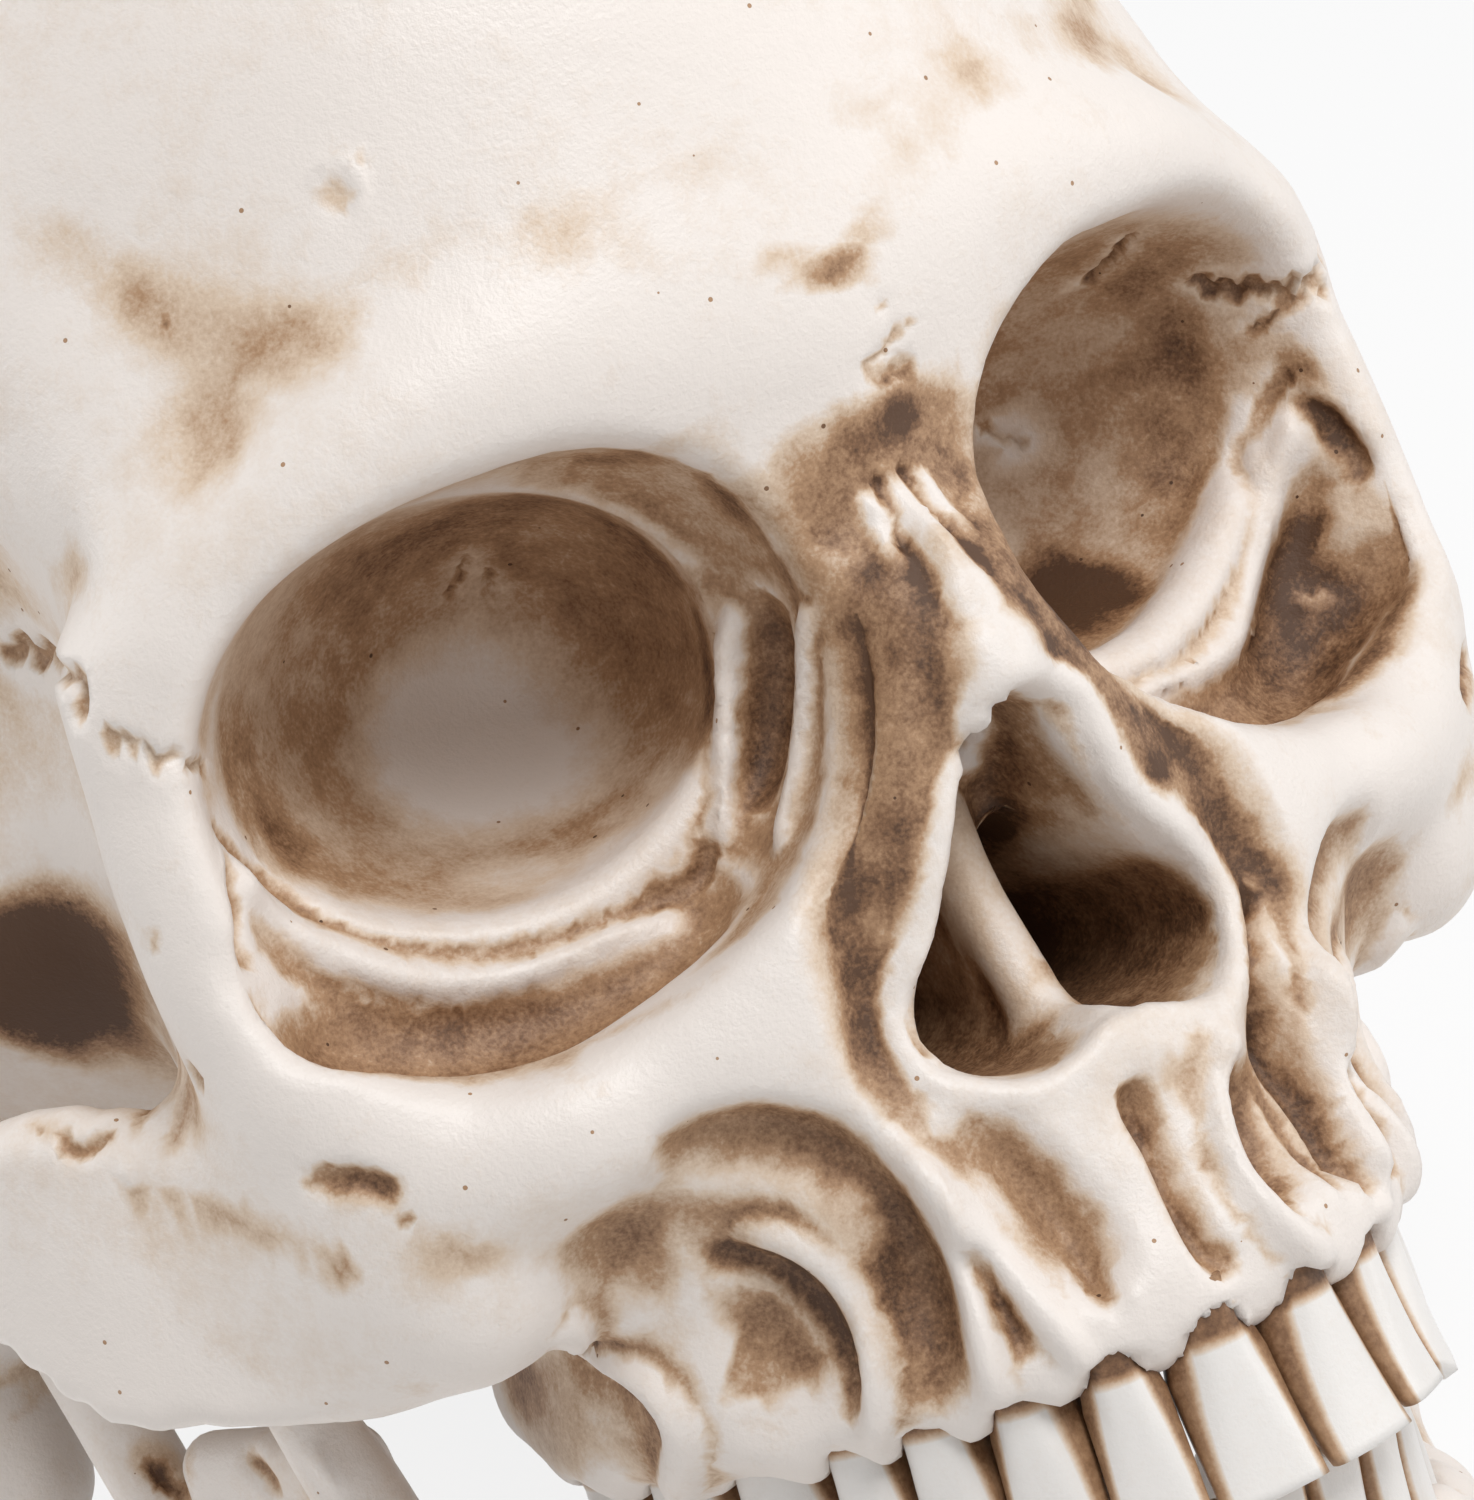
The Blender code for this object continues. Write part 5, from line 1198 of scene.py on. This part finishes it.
def tooth_rings(cusps):
    return back_crown_shares if cusps > 1 else front_crown_shares


def cusp_height(cusps, across, inward):
    """The height of the biting face over a point of the crown's last ring, as a share of the crown."""
    if cusps == 4:
        return middle_pit_share + (1 - middle_pit_share) * min(1, 2.4 * abs(across * inward))
    if cusps == 2:
        return premolar_groove_share + (1 - premolar_groove_share) * min(1, 1.3 * abs(inward))
    if cusps == 1:
        return 1 - (1 - canine_shoulder_share) * abs(across)
    return 1


def crown_rings(cusps):
    """The rings that the part gives, with more between them."""
    return curve_points(tooth_rings(cusps), steps=TOOTH_RING_STEPS)


def tooth_mesh(tooth, rings, sides, grow=0.0, side=1, toward_bite=-1):
    """A tooth in its own frame: X along the row, Y inward from its front face, Z up, origin at the gum.

    It holds a wash value for each vertex: full where teeth meet and at the gum."""
    bm = bmesh.new()
    bmesh.ops.create_uvsphere(bm, u_segments=sides, v_segments=len(rings) + 1, radius=1)
    wash_and_painted_light = bm.verts.layers.float.new("wash_and_painted_light")
    for vertex in bm.verts:
        level = round(math.acos(max(-1, min(1, vertex.co.z))) / math.pi * (len(rings) + 1))
        height, width, depth = rings[max(0, min(len(rings) - 1, len(rings) - level))]
        across = inward = 0.0
        if level not in (0, len(rings) + 1):
            turn = math.atan2(vertex.co.y, vertex.co.x)
            square = (abs(math.cos(turn))**3 + abs(math.sin(turn))**3)**(-1 / 3)
            across, inward = square * math.cos(turn), square * math.sin(turn)
        if height > 0 and not grow:
            lowered = max(0, (height - 0.6) / 0.4) if level else 1
            height = (height if level else 1) - lowered * (1 - cusp_height(tooth["cusps"], across, inward))
        if height > 0 and not grow and tooth["cusps"] < 2:
            behind_face = np.clip((inward + 0.8) / 0.45, 0, 1) * np.clip((height + 0.02) / 0.10, 0, 1)
            width += (FULL_WIDTH - width) * behind_face
        front = (front_thinning_share if height > 0 else 1) * (1 - depth)
        x = across * width * tooth["width"] / 2
        y = (1 + inward * depth - front) * tooth["depth"] / 2
        wedge = tooth["wedges"][1 if x > 0 else 0]
        x -= math.copysign(min(abs(x), max(0, y) * math.tan(wedge)), x)
        x += math.copysign(grow, x) if across else 0
        y += grow * inward
        z = height * tooth["crown"] if height > 0 else height * (ROOT_DEPTH + grow)
        if tooth["cusps"] < 2 and height > 0:
            y -= front_lean_share * tooth["crown"] * height**2
        vertex.co = (side * x, y, toward_bite * z)
        beside = np.clip((abs(across) - 0.8) / 0.12, 0, 1) * np.clip((inward + 0.9) / 0.2, 0, 1)
        beside *= 1 - 0.35 * max(0, height)
        at_gum = np.clip(1 - height / 0.055, 0, 1)
        behind = 0.3 * np.clip(inward, 0, 1)
        pit = 0.6 * (level < 2 and tooth["cusps"] > 1) * (1 - min(1, 2 * abs(across * inward)))
        vertex[wash_and_painted_light] = max(0.80 * beside, 0.85 * at_gum, behind, pit)
    if side * toward_bite < 0:
        bmesh.ops.reverse_faces(bm, faces=bm.faces)
    return bm


def tooth_matrix(tooth, row, side):
    place = Vector((side * tooth["middle"][0], tooth["middle"][1], row["gum"] * FACE_HEIGHT))
    return Matrix.Translation(place) @ Matrix.Rotation(side * tooth["turn"], 4, "Z")


def make_teeth(row, body):
    enamel = material("tooth_enamel", enamel_material)
    for side_name, side in JAW_SIDES.items():
        for tooth in row_layout(row):
            name = f"{row['name']}_{side_name}_{tooth['name']}"
            bm = tooth_mesh(tooth, crown_rings(tooth["cusps"]), FINE_TOOTH_SIDES, 0.0, side, row["toward_bite"])
            bmesh.ops.transform(bm, matrix=skull_matrix() @ tooth_matrix(tooth, row, side), verts=bm.verts)
            crown = new_object(name + "_crown", bm, enamel)
            crown.data.shade_smooth()
            finish_piece(crown, body, "enamel", name)


def cut_sockets(bone, row):
    """Cuts the sockets in two turns, every other tooth each time, because neighbours' cutters overlap."""
    for turn in (0, 1):
        bm = bmesh.new()
        for side_place, side in enumerate(JAW_SIDES.values()):
            for tooth in row_layout(row)[(turn + side_place) % 2::2]:
                bottom, _, gum, crown, *_ = tooth_rings(tooth["cusps"])
                rings = (bottom, gum, crown, (socket_top_share, *crown[1:]))
                part = tooth_mesh(tooth, rings, TOOTH_SIDES * 2, SOCKET_CLEARANCE, side, row["toward_bite"])
                part.transform(tooth_matrix(tooth, row, side))
                piece = bpy.data.meshes.new("socket")
                part.to_mesh(piece)
                part.free()
                bm.from_mesh(piece)
                bpy.data.meshes.remove(piece)
        boolean(bone, new_object(f"{row['name']}_sockets_{turn}", bm))


# Bones and fittings

def round_extent(node_name, axis):
    """A round node's ends along its axis, and its least and greatest radius, in the skull's frame."""
    points = mesh_state(frame["nodes"][node_name])[0]
    points = points @ np.array(skull_matrix().inverted())[:3, :3].T + np.array(skull_matrix().inverted())[:3, 3]
    axis = np.array(axis, float)
    along = points @ axis
    middle = (points.min(0) + points.max(0)) / 2
    middle -= axis * (middle @ axis)
    radii = np.linalg.norm(points - np.outer(along, axis) - middle, axis=1)
    return Vector(middle + axis * along.min()), Vector(middle + axis * along.max()), radii.min(), radii.max()


def cut_bores(bone, names, axis, most_reach):
    """Bores for the named round nodes, each a clearance wider and longer than what it holds."""
    for name in names:
        start, end, _, radius = round_extent(name, axis)
        spare = (end - start).normalized() * SEAT_CLEARANCE
        boolean(bone, rod_cutter(start - spare, end + spare + spare * most_reach, radius + SEAT_CLEARANCE))


def named_nodes(start):
    return sorted(name for name in frame["nodes"] if name.startswith(start))


def finish_bone(bone, softened, marks, washes_and_painted_light, triangles, sizes):
    """Softens, carves, weathers and thins a cut bone, and stores its wash."""
    soften(bone, softened)
    carve(bone, marks)
    roughen(bone, sizes.unevenness)
    thin(bone, triangles)
    store(bone, "wash_and_painted_light", wash_and_painted_light_of(bone, marks, washes_and_painted_light, sizes))
    bone.data.transform(skull_matrix())
    bone.data.materials.clear()
    bone.data.materials.append(material("cast_resin", resin_material))
    bone.data.shade_smooth()


def cut_table(bone):
    """Takes off what lies below the table, as the resting flats."""
    reach = 3 * SIZE.max()
    under = box("under_table", (-reach, -reach, -reach), (reach, reach, 0))
    under.data.transform(skull_matrix().inverted())
    boolean(bone, under)


class SKULL_OT_cranium(bpy.types.Operator):
    """Makes the cranium and its calvarium from one skin"""

    bl_idname = "skull.cranium"
    bl_label = "Cranium and calvarium"

    def execute(self, context):
        sizes = context.scene.skull_sizes
        cranium = skin("cranium_bone", cranium_shares, cranium_distance, bone_passes(sizes))
        softened = place_table(cranium, cranium_softened)
        seams = place_seams(cranium, vault_seams)
        marks = place_table(cranium, cranium_marks) + seams
        washes_and_painted_light = place_table(cranium, cranium_washes_and_painted_light)
        cavity_lumps = (*cavity_shares, *(("egg", egg, 0) for egg in vault_shares), *magnum_shares)
        boolean(cranium, skin("braincase_cavity", cavity_lumps, cavity_distance, ((middle_share, CAVITY_PASSES),)))
        calvarium = new_object("calvarium_bone", bmesh.new())
        calvarium.data = cranium.data.copy()
        cut = cap_cut_share * FACE_HEIGHT
        reach = 3 * SIZE
        boolean(cranium, box("above_cut", (-reach[0], -reach[1], cut), reach))
        boolean(calvarium, box("below_cut", -reach, (reach[0], reach[1], cut + SEAM_GAP)))
        cut_sockets(cranium, UPPER)
        cut_bores(cranium, named_nodes("cranium_magnet"), (0, 0, 1), 3)
        cut_bores(calvarium, named_nodes("calvarium_magnet"), (0, 0, -1), 3)
        for bone in (cranium, calvarium):
            cut_bores(bone, named_nodes("locating_dowel"), (0, 0, 1), 0)
        cut_bores(cranium, named_nodes("jaw_pivot_left"), (1, 0, 0), 3)
        cut_bores(cranium, named_nodes("jaw_pivot_right"), (-1, 0, 0), 3)
        cut_table(cranium)
        scallop(cranium, UPPER, sizes)
        finish_bone(cranium, softened, marks, washes_and_painted_light, sizes.cranium_triangles, sizes)
        finish_bone(calvarium, [], seams, washes_and_painted_light, sizes.calvarium_triangles, sizes)
        finish_piece(cranium, "cranium", "resin", "cranium_base")
        finish_piece(calvarium, "cap", "resin", "calvarium")
        return {"FINISHED"}


class SKULL_OT_mandible(bpy.types.Operator):
    """Makes the mandible"""

    bl_idname = "skull.mandible"
    bl_label = "Mandible"

    def execute(self, context):
        sizes = context.scene.skull_sizes
        mandible = skin("mandible_bone", mandible_shares, mandible_distance, bone_passes(sizes))
        marks = place_table(mandible, mandible_marks)
        washes_and_painted_light = place_table(mandible, mandible_washes)
        cut_sockets(mandible, LOWER)
        for name, axis in (("jaw_pivot_left", (1, 0, 0)), ("jaw_pivot_right", (-1, 0, 0))):
            start, end, radius, _ = round_extent(name, axis)
            spare = (end - start).normalized() * SEAT_CLEARANCE * 3
            boolean(mandible, rod_cutter(start - spare, end, radius + SEAT_CLEARANCE))
        cut_table(mandible)
        scallop(mandible, LOWER, sizes)
        finish_bone(mandible, [], marks, washes_and_painted_light, sizes.mandible_triangles, sizes)
        finish_piece(mandible, "jaw", "resin", "mandible")
        return {"FINISHED"}


class SKULL_OT_upper_teeth(bpy.types.Operator):
    """Makes the sixteen upper teeth"""

    bl_idname = "skull.upper_teeth"
    bl_label = "Upper teeth"

    def execute(self, context):
        make_teeth(UPPER, "cranium")
        return {"FINISHED"}


class SKULL_OT_lower_teeth(bpy.types.Operator):
    """Makes the sixteen lower teeth"""

    bl_idname = "skull.lower_teeth"
    bl_label = "Lower teeth"

    def execute(self, context):
        make_teeth(LOWER, "jaw")
        return {"FINISHED"}


def chamfered(radius, start, end, edge):
    """The profile of a rod with broken edges."""
    return ((0, start), (radius - edge, start), (radius, start + edge), (radius, end - edge), (radius - edge, end),
            (0, end))


class SKULL_OT_fittings(bpy.types.Operator):
    """Makes the magnets, the locating dowels and the slotted jaw pivots"""

    bl_idname = "skull.fittings"
    bl_label = "Fittings"

    def execute(self, context):
        sizes = context.scene.skull_sizes
        edge = sizes.edge_break
        steel = material("brushed_steel", steel_material)
        for name in named_nodes("cranium_magnet") + named_nodes("calvarium_magnet") + named_nodes("locating_dowel"):
            start, end, _, radius = round_extent(name, (0, 0, 1))
            piece = turned(name + "_turned", start, end, chamfered(radius, 0, (end - start).length, edge), steel)
            self.finish(piece, "cap" if name.startswith("calvarium") else "cranium", name)
        for name in named_nodes("jaw_pivot"):
            side = JAW_SIDES[name.rsplit("_", 1)[1]]
            start, end, shank, head = round_extent(name, (side, 0, 0))
            length = (end - start).length
            seat = length - PIVOT_HEAD_HEIGHT
            profile = (*chamfered(shank, 0, seat, edge)[:3], (shank, seat),
                       *chamfered(head, seat, length, edge)[1:])
            piece = turned(name + "_turned", start, end, profile, steel)
            deep = PIVOT_HEAD_HEIGHT / 2
            low = end - Vector((deep, 2 * head, sizes.slot_width / 2))
            high = end + Vector((deep, 2 * head, sizes.slot_width / 2))
            boolean(piece, box("slot", low, high), "EXACT")
            self.finish(piece, "cranium", name)
        return {"FINISHED"}

    def finish(self, piece, body, name):
        piece.data.transform(skull_matrix())
        piece.data.shade_flat()
        finish_piece(piece, body, "steel", name)


# Stage

def area_lamp(name, place, target, size, power):
    lamp = bpy.data.lights.new(name, "AREA")
    lamp.shape = "DISK"
    lamp.size = size
    lamp.energy = power
    obj = bpy.data.objects.new(name, lamp)
    bpy.context.scene.collection.objects.link(obj)
    back = Vector(place) - Vector(target)
    obj.matrix_world = Matrix.Translation(place) @ back.to_track_quat("Z", "Y").to_matrix().to_4x4()


def seen_directly(tree):
    """1 for rays from the camera, from a gloss and through a clear material."""
    path = tree.nodes.new("ShaderNodeLightPath")
    total = path.outputs["Is Camera Ray"]
    for name in ("Is Glossy Ray", "Is Transmission Ray"):
        either = tree.nodes.new("ShaderNodeMath")
        either.operation = "MAXIMUM"
        tree.links.new(total, either.inputs[0])
        tree.links.new(path.outputs[name], either.inputs[1])
        total = either.outputs["Value"]
    return total


class SKULL_OT_stage(bpy.types.Operator):
    """Makes the floor, the lamps, the world and the camera"""

    bl_idname = "skull.stage"
    bl_label = "Stage"

    def execute(self, context):
        scene = context.scene
        self.add_floor(scene)
        self.add_world(scene)
        looks = scene.skull_stage
        face = skull_matrix() @ Vector((0, 0, -0.03))
        lamps = (("key", (-0.02, -0.62, 0.52), 0.42, looks.key_power), ("fill", (0.60, -0.40, 0.10), 0.6, looks.fill_power),
                 ("rim", (-0.45, 0.35, 0.30), 0.4, looks.rim_power))
        for name, place, size, power in lamps:
            area_lamp(name, skull_matrix() @ Vector(place), face, size, power)
        camera = bpy.data.cameras.new("camera")
        camera.sensor_fit = "HORIZONTAL"
        camera.sensor_width = SENSOR_MM
        camera.lens = SENSOR_MM * FOCAL_PIXELS / PICTURE[0]
        camera.clip_start = CLIP_START
        obj = bpy.data.objects.new("camera", camera)
        scene.collection.objects.link(obj)
        turn = Matrix((CAMERA_RIGHT, -CAMERA_DOWN, -CAMERA_FORWARD)).transposed().to_4x4()
        obj.matrix_world = skull_matrix() @ Matrix.Translation(CAMERA_PLACE) @ turn
        scene.camera = obj
        scene.view_settings.view_transform = "Standard"
        return {"FINISHED"}

    def add_floor(self, scene):
        bm = bmesh.new()
        bmesh.ops.create_circle(bm, cap_ends=True, segments=SPIN_STEPS, radius=FLOOR_RADIUS)
        floor = new_object("floor", bm, bpy.data.materials.new("floor"))
        surface = floor.data.materials[0]
        surface.use_nodes = True
        tree = surface.node_tree
        principled = tree.nodes["Principled BSDF"]
        principled.inputs["Base Color"].default_value = (*scene.skull_colours.floor, 1)
        principled.inputs["Roughness"].default_value = 0.9
        principled.inputs["Specular IOR Level"].default_value = 0.1
        white = tree.nodes.new("ShaderNodeEmission")
        share = tree.nodes.new("ShaderNodeMath")
        share.operation = "MULTIPLY"
        tree.links.new(seen_directly(tree), share.inputs[0])
        share.inputs[1].default_value = scene.skull_stage.floor_share
        mixed = tree.nodes.new("ShaderNodeMixShader")
        tree.links.new(share.outputs["Value"], mixed.inputs["Fac"])
        tree.links.new(principled.outputs["BSDF"], mixed.inputs[1])
        tree.links.new(white.outputs["Emission"], mixed.inputs[2])
        tree.links.new(mixed.outputs["Shader"], tree.nodes["Material Output"].inputs["Surface"])

    def add_world(self, scene):
        world = bpy.data.worlds.new("studio")
        scene.world = world
        world.use_nodes = True
        tree = world.node_tree
        light = tree.nodes["Background"]
        light.inputs["Color"].default_value = (1, 1, 1, 1)
        light.inputs["Strength"].default_value = scene.skull_stage.world_light
        white = tree.nodes.new("ShaderNodeBackground")
        white.inputs["Color"].default_value = (1, 1, 1, 1)
        mixed = tree.nodes.new("ShaderNodeMixShader")
        tree.links.new(seen_directly(tree), mixed.inputs["Fac"])
        tree.links.new(light.outputs["Background"], mixed.inputs[1])
        tree.links.new(white.outputs["Background"], mixed.inputs[2])
        tree.links.new(mixed.outputs["Shader"], tree.nodes["World Output"].inputs["Surface"])


class SKULL_PT_panel(bpy.types.Panel):
    """The skull's sizes, colours, lamps and operators"""

    bl_label = "Skull"
    bl_idname = "SKULL_PT_panel"
    bl_space_type = "VIEW_3D"
    bl_region_type = "UI"
    bl_category = "Skull"

    def draw(self, context):
        for group in (context.scene.skull_sizes, context.scene.skull_colours, context.scene.skull_stage):
            for name in group.__annotations__:
                self.layout.prop(group, name)
        for operator in OPERATORS:
            self.layout.operator(operator.bl_idname)


FLOOR_RADIUS = 6.0
CLIP_START = 0.01
GROUPS = {"skull_sizes": SkullSizes, "skull_colours": SkullColours, "skull_stage": StageLooks}
OPERATORS = (SKULL_OT_stage, SKULL_OT_cranium, SKULL_OT_mandible, SKULL_OT_upper_teeth, SKULL_OT_lower_teeth,
             SKULL_OT_fittings)


def register():
    for name, group in GROUPS.items():
        bpy.utils.register_class(group)
        setattr(bpy.types.Scene, name, bpy.props.PointerProperty(type=group))
    for kind in (*OPERATORS, SKULL_PT_panel):
        bpy.utils.register_class(kind)


def unregister():
    for kind in reversed((*OPERATORS, SKULL_PT_panel)):
        bpy.utils.unregister_class(kind)
    for name, group in GROUPS.items():
        delattr(bpy.types.Scene, name)
        bpy.utils.unregister_class(group)


def main():
    register()
    for name in ("Cube", "Light", "Camera"):
        if name in bpy.data.objects:
            bpy.data.objects.remove(bpy.data.objects[name])
    bpy.ops.skull.stage()
    bpy.ops.skull.cranium()
    bpy.ops.skull.mandible()
    bpy.ops.skull.upper_teeth()
    bpy.ops.skull.lower_teeth()
    bpy.ops.skull.fittings()


if __name__ == "__main__":
    main()
